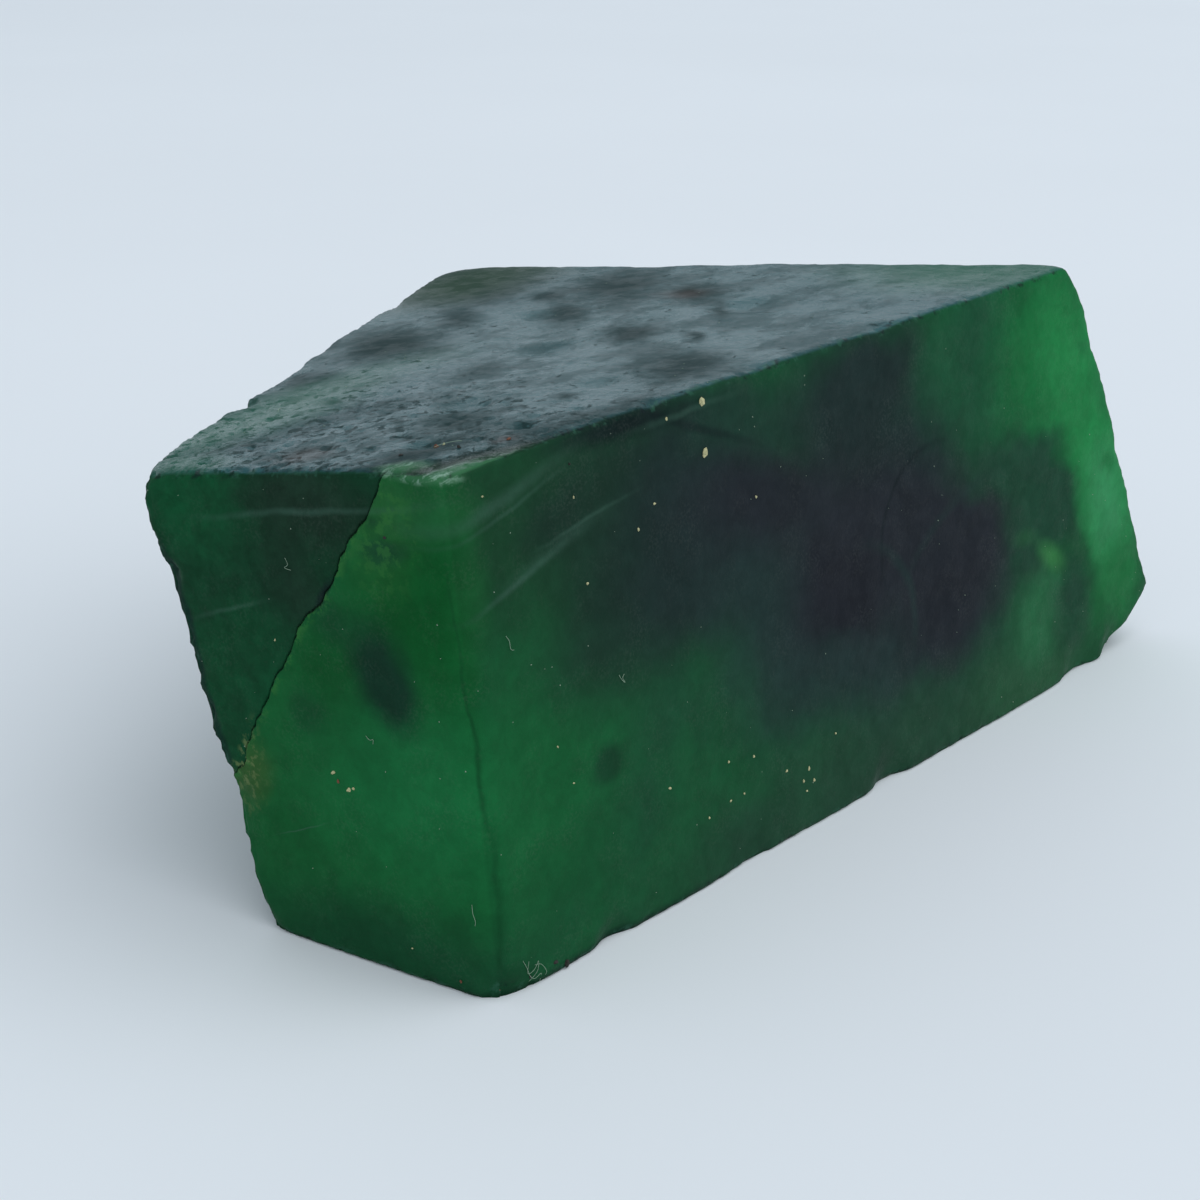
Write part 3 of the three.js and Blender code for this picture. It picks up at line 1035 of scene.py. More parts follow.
class Beryl(Enum):
    """Colours inside the stone, and painted light and shade: the glowing and bright greens paint light
    showing through the stone, the end face's foot colour paints shade near the floor, and the blackish
    colour also paints the shadow line along the foot.
    """

    BODY = (0.0110, 0.0800, 0.0335)
    # Painted glow: light showing through the stone, low on the left of the long face; also a random lighter
    # tone of the body.
    GLOW = (0.0085, 0.1180, 0.0345)
    HAZE = (0.0105, 0.0570, 0.0235)
    SMOKE = (0.0110, 0.0370, 0.0235)
    SLATE = (0.0135, 0.0300, 0.0275)
    DUSK = (0.0180, 0.0410, 0.0375)
    VIOLET = (0.0180, 0.0225, 0.0285)
    CORE = (0.0150, 0.0175, 0.0235)
    PATCH = (0.0135, 0.0500, 0.0320)
    FOOT = (0.0185, 0.0660, 0.0360)
    FOOT_RIGHT = (0.0250, 0.1050, 0.0460)
    DEEP = (0.0110, 0.0610, 0.0315)
    RIGHT = (0.0100, 0.0860, 0.0365)
    # Painted glow: this colour and the next four paint light passing through the thin right end.
    BRIGHT = (0.0085, 0.1620, 0.0430)
    HOT = (0.0170, 0.2350, 0.0640)
    PALE = (0.0430, 0.2900, 0.1080)
    TIP = (0.0140, 0.1700, 0.0480)
    LIT = (0.0230, 0.1450, 0.0570)
    STAR = (0.0400, 0.2100, 0.0600)
    SPOT = (0.0080, 0.0560, 0.0240)
    END_BODY = (0.0076, 0.1050, 0.0280)
    # Painted glow: light showing through the stone, low on the end face.
    END_GLOW = (0.0095, 0.1450, 0.0420)
    END_DIM = (0.0050, 0.0860, 0.0210)
    # Painted shade along the foot of the end face, near the floor.
    END_FOOT_SHADE = (0.0076, 0.0620, 0.0250)
    FACET = (0.0035, 0.0850, 0.0180)
    CORNER = (0.0140, 0.1060, 0.0330)
    WEDGE = (0.0060, 0.0430, 0.0190)
    WEDGE_TOP = (0.0120, 0.0350, 0.0205)
    WEDGE_LOW = (0.0055, 0.0640, 0.0240)
    WEDGE_EDGE = (0.0060, 0.0760, 0.0275)
    RIND = (0.0055, 0.0230, 0.0190)
    # Pale lip right of the crack: stain, and partly a painted highlight on its raised edge.
    LIP_STAIN_AND_HIGHLIGHT = (0.0330, 0.1650, 0.0380)
    SMUDGE = (0.0062, 0.0370, 0.0195)
    STAIN = (0.0360, 0.1080, 0.0270)
    SEAM = (0.0040, 0.0480, 0.0150)
    # Blackish: dark marks in the stone, and also the painted contact shadow along the foot of the long
    # face.
    DARK_MARK_AND_SHADOW = (0.0050, 0.0110, 0.0130)


@dataclass(frozen=True)
class Zone:
    """Soft-edged region inside the stone: place, half sizes in millimetres and turn in degrees."""

    centre: Triple
    reach: Triple
    colour: Beryl
    strength: float = 1.0
    softness: float = 0.6
    turn: Triple = (0.0, 0.0, 0.0)


def long_zone(x: float, z: float, wide: float, high: float, colour: Beryl, strength: float, softness: float,
              tilt: float = 0.0) -> Zone:
    """Zone seen through the long face: its place along and up the face, half sizes, look and tilt."""
    return Zone((x, 1.0, z), (wide, 3.0, high), colour, strength, softness, (0.0, tilt, 0.0))


LONG_ZONES = (
    # Painted glow of light showing through the stone, low on the left of the long face.
    long_zone(1.5, 7.6, 5.4, 6.0, Beryl.GLOW, 1.0, 0.8),
    long_zone(3.0, 16.8, 6.8, 3.4, Beryl.HAZE, 0.9, 0.7),
    long_zone(8.2, 12.6, 4.4, 2.8, Beryl.SMOKE, 0.95, 0.7, -12.0),
    long_zone(8.8, 16.4, 5.0, 3.0, Beryl.SMOKE, 0.9, 0.6),
    long_zone(4.6, 16.6, 1.8, 1.0, Beryl.SMOKE, 0.8, 0.7),
    long_zone(13.2, 13.6, 5.6, 3.4, Beryl.SLATE, 1.0, 0.55),
    long_zone(12.2, 16.6, 3.8, 2.4, Beryl.SLATE, 0.95, 0.6),
    long_zone(16.0, 17.5, 3.8, 1.2, Beryl.PATCH, 0.85, 0.6),
    long_zone(23.2, 16.9, 4.8, 2.8, Beryl.SLATE, 1.0, 0.5),
    long_zone(25.5, 13.0, 5.4, 3.2, Beryl.SLATE, 1.0, 0.5),
    long_zone(17.0, 10.4, 4.6, 2.8, Beryl.DUSK, 1.0, 0.7, 35.0),
    long_zone(19.4, 7.8, 4.4, 2.8, Beryl.DUSK, 0.95, 0.8),
    long_zone(26.2, 6.6, 8.0, 3.8, Beryl.DUSK, 1.0, 0.6),
    long_zone(24.0, 0.4, 13.0, 3.2, Beryl.FOOT, 0.95, 0.6),
    long_zone(17.4, 13.9, 5.2, 2.0, Beryl.VIOLET, 0.95, 0.6, 12.0),
    long_zone(22.4, 10.4, 4.2, 4.0, Beryl.VIOLET, 1.0, 0.5),
    long_zone(28.8, 9.2, 7.0, 3.0, Beryl.VIOLET, 1.0, 0.45, 14.0),
    long_zone(29.6, 6.4, 3.8, 2.4, Beryl.VIOLET, 0.95, 0.6),
    long_zone(25.0, 11.8, 3.2, 1.8, Beryl.VIOLET, 0.6, 0.7),
    long_zone(21.8, 9.0, 2.6, 2.2, Beryl.CORE, 0.9, 0.6),
    long_zone(29.4, 7.6, 2.8, 1.4, Beryl.CORE, 0.5, 0.7),
    long_zone(21.6, 6.5, 1.7, 0.8, Beryl.DUSK, 0.7, 0.7),
    long_zone(36.6, 0.9, 5.2, 1.9, Beryl.FOOT_RIGHT, 0.9, 0.7),
    long_zone(33.4, 16.5, 5.0, 3.5, Beryl.RIGHT, 1.0, 0.5, 14.0),
    # Painted glow: the zones from here to the end of the table paint light passing through the thin right
    # end, with darker spots in it.
    long_zone(37.9, 16.0, 3.8, 4.2, Beryl.BRIGHT, 1.0, 0.75, 8.0),
    long_zone(40.4, 14.4, 2.6, 3.6, Beryl.HOT, 1.0, 0.8, -18.0),
    long_zone(36.2, 11.2, 4.6, 1.3, Beryl.DEEP, 0.95, 0.5, 6.0),
    long_zone(38.3, 8.9, 3.2, 2.5, Beryl.DEEP, 1.0, 0.4),
    long_zone(41.0, 11.2, 2.2, 0.9, Beryl.BRIGHT, 0.7, 0.6),
    Zone((43.2, 0.8, 8.8), (2.4, 3.0, 5.0), Beryl.HOT, 1.0, 0.35, (0.0, -22.0, 0.0)),
    Zone((43.6, 0.8, 7.4), (1.5, 3.0, 3.0), Beryl.PALE, 0.9, 0.8, (0.0, -22.0, 0.0)),
    long_zone(44.6, 3.6, 2.6, 2.6, Beryl.TIP, 0.95, 0.7),
    long_zone(37.2, 3.9, 2.2, 1.8, Beryl.LIT, 0.95, 0.7),
    long_zone(40.3, 3.5, 1.6, 1.5, Beryl.DEEP, 0.95, 0.6),
    long_zone(39.7, 5.3, 1.3, 0.6, Beryl.DEEP, 0.6, 0.7),
    long_zone(36.1, 6.7, 1.0, 0.6, Beryl.DEEP, 0.8, 0.6),
    Zone((41.0, 1.0, 15.2), (0.5, 2.0, 0.35), Beryl.DEEP, 0.3, 0.7),
    Zone((43.3, 1.0, 9.6), (0.7, 2.0, 0.5), Beryl.BRIGHT, 0.7, 0.6),
)

END_ZONES = (
    Zone((-0.8, 5.4, 9.0), (1.0, 12.0, 14.0), Beryl.END_BODY, 0.95, 0.3),
    # Painted glow of light showing through the stone, low on the end face.
    Zone((-0.7, 2.8, 7.2), (2.0, 4.2, 3.4), Beryl.END_GLOW, 0.95, 0.8),
    Zone((-0.9, 7.0, 11.6), (1.2, 1.6, 1.6), Beryl.END_DIM, 0.9, 0.7),
    # Painted shade along the foot of the end face.
    Zone((-0.7, 4.4, 0.0), (2.5, 7.0, 2.6), Beryl.END_FOOT_SHADE, 0.9, 0.6),
    Zone((-0.8, 2.6, 14.8), (1.5, 2.6, 3.6), Beryl.FACET, 0.95, 0.6),
    Zone((-0.8, 2.4, 17.8), (1.5, 2.0, 1.0), Beryl.CORNER, 0.9, 0.7),
    Zone((-0.7, 0.7, 16.2), (1.5, 0.7, 3.0), Beryl.CORNER, 0.9, 0.7),
    Zone((-0.9, 6.6, 13.0), (1.2, 0.9, 0.7), Beryl.SMUDGE, 0.5, 0.8),
    Zone((-0.8, 4.4, 11.4), (1.5, 1.2, 1.95), Beryl.SMUDGE, 1.0, 0.5, (-26.0, 0.0, 0.0)),
    Zone((-1.0, 8.0, 9.4), (1.2, 0.7, 0.9), Beryl.SMUDGE, 0.4, 0.7),
    Zone((-1.2, 10.9, 6.3), (1.4, 0.9, 1.2), Beryl.STAIN, 0.95, 0.7, (30.0, 0.0, 0.0)),
    # The crack's lip: stain, and partly a painted highlight.
    Zone((-0.8, 4.4, 16.9), (1.2, 1.3, 1.9), Beryl.LIP_STAIN_AND_HIGHLIGHT, 0.35, 0.8),
    Zone((-0.8, 4.3, 16.0), (1.2, 0.75, 0.42), Beryl.SPOT, 0.85, 0.6),
    Zone((-0.8, 4.6, 17.0), (1.0, 0.3, 0.25), Beryl.SPOT, 0.6, 0.6),
    Zone((-0.8, 3.4, 16.2), (1.0, 0.4, 0.25), Beryl.SPOT, 0.4, 0.6),
)

WEDGE_ZONES = (
    Zone((-1.9, 12.9, 16.4), (2.0, 2.4, 2.4), Beryl.WEDGE_EDGE, 0.95, 0.7),
    Zone((-1.3, 7.6, 17.2), (1.6, 2.8, 1.5), Beryl.WEDGE_TOP, 0.95, 0.6),
    Zone((-1.1, 8.2, 14.2), (1.4, 1.0, 2.2), Beryl.WEDGE_TOP, 0.75, 0.8, (-35.0, 0.0, 0.0)),
    Zone((-1.3, 10.4, 11.6), (1.4, 1.2, 1.4), Beryl.WEDGE_LOW, 0.7, 0.8),
)

# Painted glow: light showing through the thin rims of the top, at its right end and along its left.
TOP_GLOW_ZONES = (
    Zone((39.0, 4.5, 19.0), (6.0, 6.0, 4.0), Beryl.GLOW, 0.85, 0.7),
    Zone((4.0, 16.6, 17.0), (9.0, 2.2, 4.0), Beryl.GLOW, 0.7, 0.7),
    Zone((-1.6, 14.0, 17.2), (1.6, 2.2, 2.0), Beryl.GLOW, 0.7, 0.7),
)

FINE_ZONES = (
    Zone((38.3, 1.0, 6.4), (1.1, 2.0, 0.46), Beryl.STAR, 0.95, 0.95, (0.0, 32.0, 0.0)),
    Zone((36.0, 1.0, 7.8), (0.9, 2.0, 0.34), Beryl.STAR, 0.2, 0.95, (0.0, 8.0, 0.0)),
    Zone((6.4, 0.7, 6.9), (0.78, 2.0, 0.70), Beryl.SPOT, 0.9, 0.5),
    Zone((-0.6, 0.95, 9.6), (0.9, 0.050, 4.8), Beryl.SEAM, 0.6, 0.9, (-6.5, 0.0, 0.0)),
    Zone((-0.3, 0.35, 3.4), (0.9, 0.050, 3.0), Beryl.SEAM, 0.45, 0.9, (-3.0, 0.0, 0.0)),
    # Painted contact shadow: a dark line along the foot of the long face.
    Zone((7.0, 0.2, 0.0), (5.6, 1.2, 0.26), Beryl.DARK_MARK_AND_SHADOW, 0.7, 0.9),
    Zone((8.3, 1.5, 18.9), (3.4, 2.0, 0.45), Beryl.DARK_MARK_AND_SHADOW, 0.85, 0.8, (0.0, 2.0, 0.0)),
    Zone((12.6, 1.4, 17.9), (3.2, 2.0, 0.16), Beryl.DARK_MARK_AND_SHADOW, 0.5, 0.8, (0.0, 22.0, 0.0)),
    Zone((-1.0, 6.95, 14.0), (0.8, 0.17, 0.62), Beryl.DARK_MARK_AND_SHADOW, 0.8, 0.8, (33.0, 0.0, 0.0)),
)


# Veils inside the stone: middle, direction across, thickness, reach and strength.
VEILS = (
    ((-1.1, 7.6, 16.85), (-0.162, 0.190, 0.968), 0.20, 7.5, 0.36),
    ((2.0, 1.4, 17.8), (-0.236, 0.05, 0.970), 0.45, 5.0, 0.36),
    ((2.2, 1.4, 17.35), (-0.262, 0.05, 0.965), 0.16, 4.6, 0.30),
    ((2.4, 1.3, 14.75), (-0.300, 0.05, 0.953), 0.22, 3.6, 0.42),
    ((4.6, 1.3, 15.5), (-0.240, 0.05, 0.970), 0.40, 4.6, 0.22),
    ((6.0, 1.3, 16.0), (-0.150, 0.05, 0.988), 0.14, 4.0, 0.30),
    ((12.0, 1.5, 18.6), (-0.020, 0.05, 0.998), 0.22, 4.6, 0.30),
    ((-1.5, 11.4, 12.5), (-0.10, 0.36, 0.928), 0.16, 2.8, 0.28),
    ((-0.7, 8.6, 4.6), (-0.05, 0.42, 0.906), 0.05, 1.8, 0.50),
)


@dataclass(frozen=True)
class ArcLine:
    """Fine curved fracture behind the long face, in millimetres."""

    centre: Triple
    radius: float
    thickness: float
    shown: Triple
    reach: float
    colour: Beryl
    strength: float


ARC_LINES = (
    ArcLine((28.4, 1.0, 9.9), 4.0, 0.22, (25.4, 1.0, 12.2), 3.4, Beryl.DARK_MARK_AND_SHADOW, 0.55),
    ArcLine((22.4, 1.0, 6.4), 4.4, 0.45, (26.4, 1.0, 8.2), 3.0, Beryl.DUSK, 0.55),
    ArcLine((33.0, 1.0, 2.0), 9.4, 0.40, (29.5, 1.0, 10.6), 3.4, Beryl.DUSK, 0.35),
)


@dataclass(frozen=True)
class TopPatch:
    """Dull, dark patch of the waxy top face: place and half sizes in millimetres."""

    centre: Pair
    reach: Pair
    strength: float = 1.0
    turned: bool = True


PATCH_DEPTH = 400.0                   # half size of a patch up and down, so that its height hardly matters
GRAIN_TURN = 40.0                     # degrees from the long face to the streaks of the top face
# Ways to push positions about: features per millimetre, reach in millimetres and octaves.
WAVY, FRAYED, SOFT, TORN = (0.24, 3.2, 6.0), (0.7, 1.0, 5.0), (0.3, 0.5, 3.0), (0.55, 2.1, 6.0)
TOP_PATCHES = (
    TopPatch((15.7, 20.1), (3.3, 2.3), 1.0), TopPatch((20.4, 10.8), (1.8, 1.1), 1.0),
    TopPatch((28.6, 13.8), (2.6, 1.2), 1.0), TopPatch((15.9, 4.6), (3.0, 1.8), 0.95),
    TopPatch((5.8, 6.9), (2.1, 1.2), 0.75), TopPatch((1.4, 4.7), (3.3, 1.1), 0.95, False),
    TopPatch((26.0, 10.5), (1.6, 0.45), 0.9), TopPatch((28.8, 18.4), (3.8, 2.1), 0.95),
    TopPatch((23.0, 16.6), (3.0, 1.0), 0.9), TopPatch((26.0, 20.2), (1.5, 1.1), 0.9),
    TopPatch((27.8, 26.2), (5.4, 3.2), 1.0), TopPatch((21.2, 21.0), (2.4, 0.9), 0.85),
    TopPatch((10.2, 19.0), (1.8, 1.3), 0.8), TopPatch((7.6, 15.2), (0.7, 0.40), 0.9),
    TopPatch((8.7, 10.0), (1.2, 0.8), 0.5), TopPatch((10.1, 5.8), (0.8, 0.50), 0.9),
    TopPatch((20.6, 7.8), (1.1, 0.38), 0.95), TopPatch((24.5, 23.0), (1.6, 1.0), 0.6),
    TopPatch((13.0, 12.5), (1.3, 0.9), 0.5), TopPatch((4.8, 13.2), (0.7, 0.45), 0.5),
    TopPatch((35.5, 8.0), (2.4, 0.7), 0.4), TopPatch((8.6, 2.3), (4.0, 0.7), 0.6, False),
    TopPatch((38.8, 4.6), (3.4, 3.0), 0.5, False),
)


# Placed stains: middle and half sizes in millimetres, softness and strength.
BEVEL_STRIP = ((-0.75, 2.9, 19.0), (1.2, 1.7, 0.34), 0.4)
# The crack's lip: stain, and partly a painted highlight.
LIP_STAIN_AND_HIGHLIGHT_ZONE = ((-0.8, 4.3, 17.0), (1.4, 1.3, 2.2), 0.7, 0.7)
CORNER_STAIN = ((-1.3, 11.2, 6.6), (1.4, 0.8, 1.6), 0.8)
RUSTY_SPOTS = (((28.3, 14.1, 18.3), 1.0), ((0.6, 9.3, 18.2), 1.0), ((3.7, 2.8, 19.2), 0.5))
NEAR_CORNER = (17.0, 4.0)             # millimetres along the long face: pitted less, and fully
GRAIN_STRETCH = (0.62, 1.0, 1.0)      # scales that draw the top's mottle out along its streaks
BEVEL_TURN = 18.0                     # degrees from the long face to the bevel's streaks
BEVEL_STRETCH = (0.35, 2.6, 2.6)      # scales that draw the bevel's streaks out


@dataclass(frozen=True)
class Ground:
    """What the steps of the stone's finish share: its sheet, positions in millimetres and masks."""

    sheet: NodeSheet
    at: NodeSocket
    frayed: NodeSocket          # position, pushed about finely
    soft: NodeSocket            # position, pushed about gently
    along: NodeSocket           # frayed position along the long face
    height: NodeSocket          # frayed position upwards
    near: NodeSocket            # how close to the pitted front left part of the top
    crack: NodeSocket
    end: NodeSocket
    top: NodeSocket
    edge: NodeSocket
    broken: NodeSocket
    bevel: NodeSocket


@dataclass(frozen=True)
class EmeraldFinish:
    """Cloudy green beryl: coloured zones, among them painted glow and shade, veils, a stained crack whose
    lip is partly a painted highlight, and a waxy, pitted top whose colour partly paints its sheen.
    """

    groups: Groups
    coat_roughness: float = 0.22
    side_coat: float = 0.045
    top_coat: float = 0.88
    dull_coat: float = 0.06
    # Teal of the waxy top, lighter where its film is: partly its own colour, partly the painted tint of its
    # sheen.
    top_colour_and_sheen: Triple = (0.010, 0.080, 0.088)
    top_dark: Triple = (0.012, 0.034, 0.034)
    top_olive: Triple = (0.016, 0.050, 0.026)
    rust: Triple = (0.055, 0.020, 0.012)
    # Painted glow of the top's thin rims.
    top_glow_green: Triple = (0.010, 0.110, 0.062)
    # Pale chipped bevel; its colour and its streaks are partly painted sheen.
    bevel_colour: Triple = (0.040, 0.150, 0.065)
    bevel_streak_and_sheen: Triple = (0.260, 0.420, 0.320)
    # Painted shade: the long and end faces are darkened by different amounts, for how light falls on each.
    long_face_shade: float = 0.79
    end_face_shade: float = 0.95
    stain_colour: Triple = (0.150, 0.210, 0.080)
    veil_colour: Triple = (0.060, 0.140, 0.100)
    crack_colour: Triple = (0.004, 0.014, 0.009)
    wear_and_glint_colour: Triple = (0.030, 0.110, 0.070)
    dust_colour: Triple = (0.30, 0.34, 0.30)
    grain_height: float = 0.06 * METRES
    pit_depth: float = 0.22 * METRES
    film_share: float = 0.03
    broken_film: float = 0.13

    def veils(self, sheet: NodeSheet, at: Any, colour: Any) -> Any:
        """Lays the pale veils over a colour.

        Args:
            sheet: The material's sheet.
            at: Position socket.
            colour: The colour so far.

        Returns:
            The colour.
        """
        for centre, normal, thickness, reach, strength in VEILS:
            mask = Groups.place(sheet, self.groups.veil, {
                "Position": at, "Centre": centre, "Normal": normal, "Thickness": thickness, "Reach": reach,
                "Strength": strength,
            }).outputs["Mask"]
            colour = sheet.blend(mask, colour, self.veil_colour)
        return colour

    def arcs(self, sheet: NodeSheet, at: Any, colour: Any) -> Any:
        """Lays the fine curved fractures over a colour.

        Args:
            sheet: The material's sheet.
            at: Position socket.
            colour: The colour so far.

        Returns:
            The colour.
        """
        for line in ARC_LINES:
            ring = Groups.place(sheet, self.groups.arc, {
                "Position": at, "Centre": line.centre, "Radius": line.radius, "Thickness": line.thickness,
            }).outputs["Mask"]
            shown = self.groups.zone_mask(sheet, at, line.shown, (line.reach,) * 3, 0.8, line.strength)
            colour = sheet.blend(sheet.times(ring, shown), colour, line.colour.value)
        return colour

    def ground(self, sheet: NodeSheet, place: NodeSocket) -> Ground:
        """Reads the masks and warps the positions that every step uses.

        Args:
            sheet: The material's sheet.
            place: The object's own coordinates, in metres.

        Returns:
            What the steps share.
        """
        at = sheet.add("ShaderNodeMapping", {0: place, 1: PART_CENTRE, 3: (1.0 / METRES,) * 3}).outputs[0]
        frayed, soft = sheet.warped(at, *FRAYED), sheet.warped(at, *SOFT)
        masks = {name: sheet.mask(name) for name in ("crack", "end", "top", "edge", "broken", "bevel")}
        strip = self.groups.zone_mask(sheet, soft, *BEVEL_STRIP)
        masks["bevel"] = sheet.math("MAXIMUM", masks["bevel"], strip)
        split = sheet.add("ShaderNodeSeparateXYZ", {0: frayed}).outputs
        near = sheet.ramp(split["X"], *NEAR_CORNER)
        return Ground(sheet, at, frayed, soft, split["X"], split["Z"], near, **masks)

    def wedge(self, ground: Ground) -> NodeSocket:
        """Lays the darker wedge to the left of the crack, and its dark rind, over the body colour.

        Args:
            ground: What the steps share.

        Returns:
            The colour.
        """
        sheet, crack = ground.sheet, ground.crack
        wedge = sheet.times(sheet.ramp(crack, -0.04, 0.04), ground.end, sheet.ramp(ground.height, 4.8, 7.0))
        murk = sheet.ramp(sheet.cloud(ground.frayed, 1.3, 6.0, 0.7), 0.34, 0.66)
        murky = sheet.shaded(sheet.mask("wedge", "Vector"), murk, 0.84, 1.12)
        colour = sheet.blend(wedge, sheet.mask("body", "Vector"), murky)
        rind = sheet.times(sheet.ramp(ground.edge, 0.35, 0.85), sheet.ramp(ground.height, 15.5, 13.5),
                           sheet.ramp(crack, 0.0, 0.5), 0.75)
        return sheet.blend(rind, colour, Beryl.RIND.value)

    def clouded(self, ground: Ground, colour: Any) -> NodeSocket:
        """Breaks a colour up by the cloudiness inside the stone.

        Args:
            ground: What the steps share.
            colour: The colour so far.

        Returns:
            The colour.
        """
        sheet = ground.sheet
        grit = Groups.place(sheet, self.groups.grit, {"Position": ground.frayed, "Scale": 1.6})
        clouds = sheet.ramp(sheet.cloud(ground.frayed, 0.45, 5.0, 0.6), 0.32, 0.68)
        colour = sheet.shaded(colour, clouds, 0.91, 1.09)
        return sheet.shaded(colour, sheet.ramp(grit.outputs["Height"], 0.3, 0.7), 0.92, 1.08)

    def cracked(self, ground: Ground, colour: Any) -> NodeSocket:
        """Draws the crack: a dark line of uneven width with a pale lip on its right, stained and partly a
        painted highlight where its raised edge catches the light.

        Args:
            ground: What the steps share.
            colour: The colour so far.

        Returns:
            The colour.
        """
        sheet, crack, at, soft = ground.sheet, ground.crack, ground.at, ground.soft
        gap = sheet.math("ABSOLUTE", crack)
        on_end = sheet.math("MAXIMUM", ground.end, ground.bevel)
        right_of_it = sheet.ramp(crack, 0.02, -0.02)
        # The pale lip is stain, and partly a painted highlight on the crack's raised right edge.
        lip = sheet.times(sheet.ramp(crack, -0.45, -0.04), right_of_it)
        stain_and_highlight = sheet.times(self.groups.zone_mask(sheet, soft, *LIP_STAIN_AND_HIGHLIGHT_ZONE), right_of_it, ground.end)
        flecks = sheet.ramp(sheet.cloud(at, 1.9, 4.0, 0.65), 0.48, 0.60)
        lip = sheet.times(sheet.math("MAXIMUM", lip, stain_and_highlight), flecks, on_end, 0.75)
        colour = sheet.blend(lip, colour, Beryl.LIP_STAIN_AND_HIGHLIGHT.value)
        uneven = sheet.ramp(sheet.cloud(at, 1.3, 3.0), 0.36, 0.62, 0.022, 0.060)
        line = sheet.times(sheet.ramp(gap, uneven, 0.01), on_end, 0.8)
        colour = sheet.blend(line, colour, self.crack_colour)
        corner = sheet.times(
            self.groups.zone_mask(sheet, soft, *CORNER_STAIN),
            sheet.ramp(sheet.cloud(at, 2.2, 5.0, 0.65), 0.5, 0.62), sheet.ramp(crack, 0.5, 0.1), 0.8,
        )
        return sheet.blend(corner, colour, self.stain_colour)

    def waxy(self, ground: Ground) -> NodeSocket:
        """Works out where the top keeps its waxy film, between dull patches, blotches and specks.

        Args:
            ground: What the steps share.

        Returns:
            Share of film at each point.
        """
        sheet, frayed, near = ground.sheet, ground.frayed, ground.near
        torn = sheet.times(sheet.math("SUBTRACT", sheet.cloud(ground.at, 2.2, 4.0, 0.7), 0.5), 0.9)
        dull = sheet.mask("dull")
        partly = sheet.times(dull, sheet.math("SUBTRACT", 1.0, dull), 4.0)
        dull = sheet.math("ADD", dull, sheet.times(torn, partly), clamp=True)
        drawn = sheet.add("ShaderNodeMapping", {
            0: frayed, 2: (0.0, 0.0, math.radians(-GRAIN_TURN)), 3: GRAIN_STRETCH,
        }).outputs[0]
        fine = sheet.ramp(sheet.cloud(drawn, 0.38, 7.0, 0.72), 0.38, 0.60)
        blotch = sheet.ramp(sheet.cloud(drawn, 0.9, 6.0, 0.7), sheet.level(near, 0.62, 0.52),
                            sheet.level(near, 0.74, 0.58))
        specks = sheet.ramp(sheet.cloud(frayed, 2.4, 3.0, 0.6), sheet.level(near, 0.62, 0.53),
                            sheet.level(near, 0.70, 0.61))
        film = sheet.times(sheet.math("SUBTRACT", 1.0, dull), sheet.ramp(fine, 0.0, 1.0, 0.5, 1.0))
        for hole, left in ((blotch, 0.5), (specks, 0.12)):
            film = sheet.times(film, sheet.ramp(hole, 0.0, 1.0, 1.0, left))
        return film

    def topped(self, ground: Ground, colour: Any, waxy: NodeSocket) -> NodeSocket:
        """Lays the top face over a colour, with the painted green glow at its thin rims, its olive corner
        and its rusty stains.

        Args:
            ground: What the steps share.
            colour: The colour so far.
            waxy: Share of film at each point.

        Returns:
            The colour.
        """
        sheet = ground.sheet
        # The top's colour follows its film: partly its own teal, partly painted sheen tint.
        cap = sheet.blend(waxy, self.top_dark, self.top_colour_and_sheen)
        cap = sheet.blend(sheet.mask("green"), cap, self.top_glow_green)
        cap = sheet.blend(sheet.mask("olive"), cap, self.top_olive)
        for centre, reach in RUSTY_SPOTS:
            rusty = self.groups.zone_mask(sheet, ground.frayed, centre, (reach,) * 3, 0.7, 0.38)
            cap = sheet.blend(rusty, cap, self.rust)
        return sheet.blend(ground.top, colour, cap)

    def bevelled(self, ground: Ground, colour: Any) -> NodeSocket:
        """Lays the narrow bevel at the front top corner, pale and with pale streaks that are partly painted
        sheen, and a dark seam above it.

        Args:
            ground: What the steps share.
            colour: The colour so far.

        Returns:
            The colour.
        """
        sheet, bevel = ground.sheet, ground.bevel
        colour = sheet.blend(sheet.times(bevel, 0.9), colour, self.bevel_colour)
        along = sheet.add("ShaderNodeMapping", {
            0: ground.frayed, 2: (0.0, 0.0, math.radians(BEVEL_TURN)), 3: BEVEL_STRETCH,
        }).outputs[0]
        # Pale streaks of the bevel: partly painted highlights.
        streaks = sheet.ramp(sheet.cloud(along, 1.0, 5.0, 0.65), 0.48, 0.62)
        colour = sheet.blend(sheet.times(bevel, streaks, 0.8), colour, self.bevel_streak_and_sheen)
        return sheet.blend(sheet.times(sheet.mask("bevel_line"), 0.85), colour, self.crack_colour)

    def worn(self, ground: Ground, colour: Any) -> NodeSocket:
        """Wears and soils the edges; the pale speckle along them is partly a painted glint.

        Args:
            ground: What the steps share.
            colour: The colour so far.

        Returns:
            The colour.
        """
        sheet, at, edge = ground.sheet, ground.at, ground.edge
        # Pale speckle along the edges: chipping, and partly a painted glint along the rims.
        chipped = sheet.ramp(sheet.cloud(at, 2.6, 4.0, 0.65), 0.52, 0.64)
        wear = sheet.times(sheet.ramp(edge, 0.72, 1.0), chipped, 0.5)
        colour = sheet.blend(wear, colour, self.wear_and_glint_colour)
        soiled = sheet.ramp(sheet.cloud(at, 1.7, 4.0, 0.65), 0.46, 0.34)
        grime = sheet.times(sheet.ramp(edge, 0.74, 1.0), soiled, 0.7)
        return sheet.blend(grime, colour, Beryl.DARK_MARK_AND_SHADOW.value)

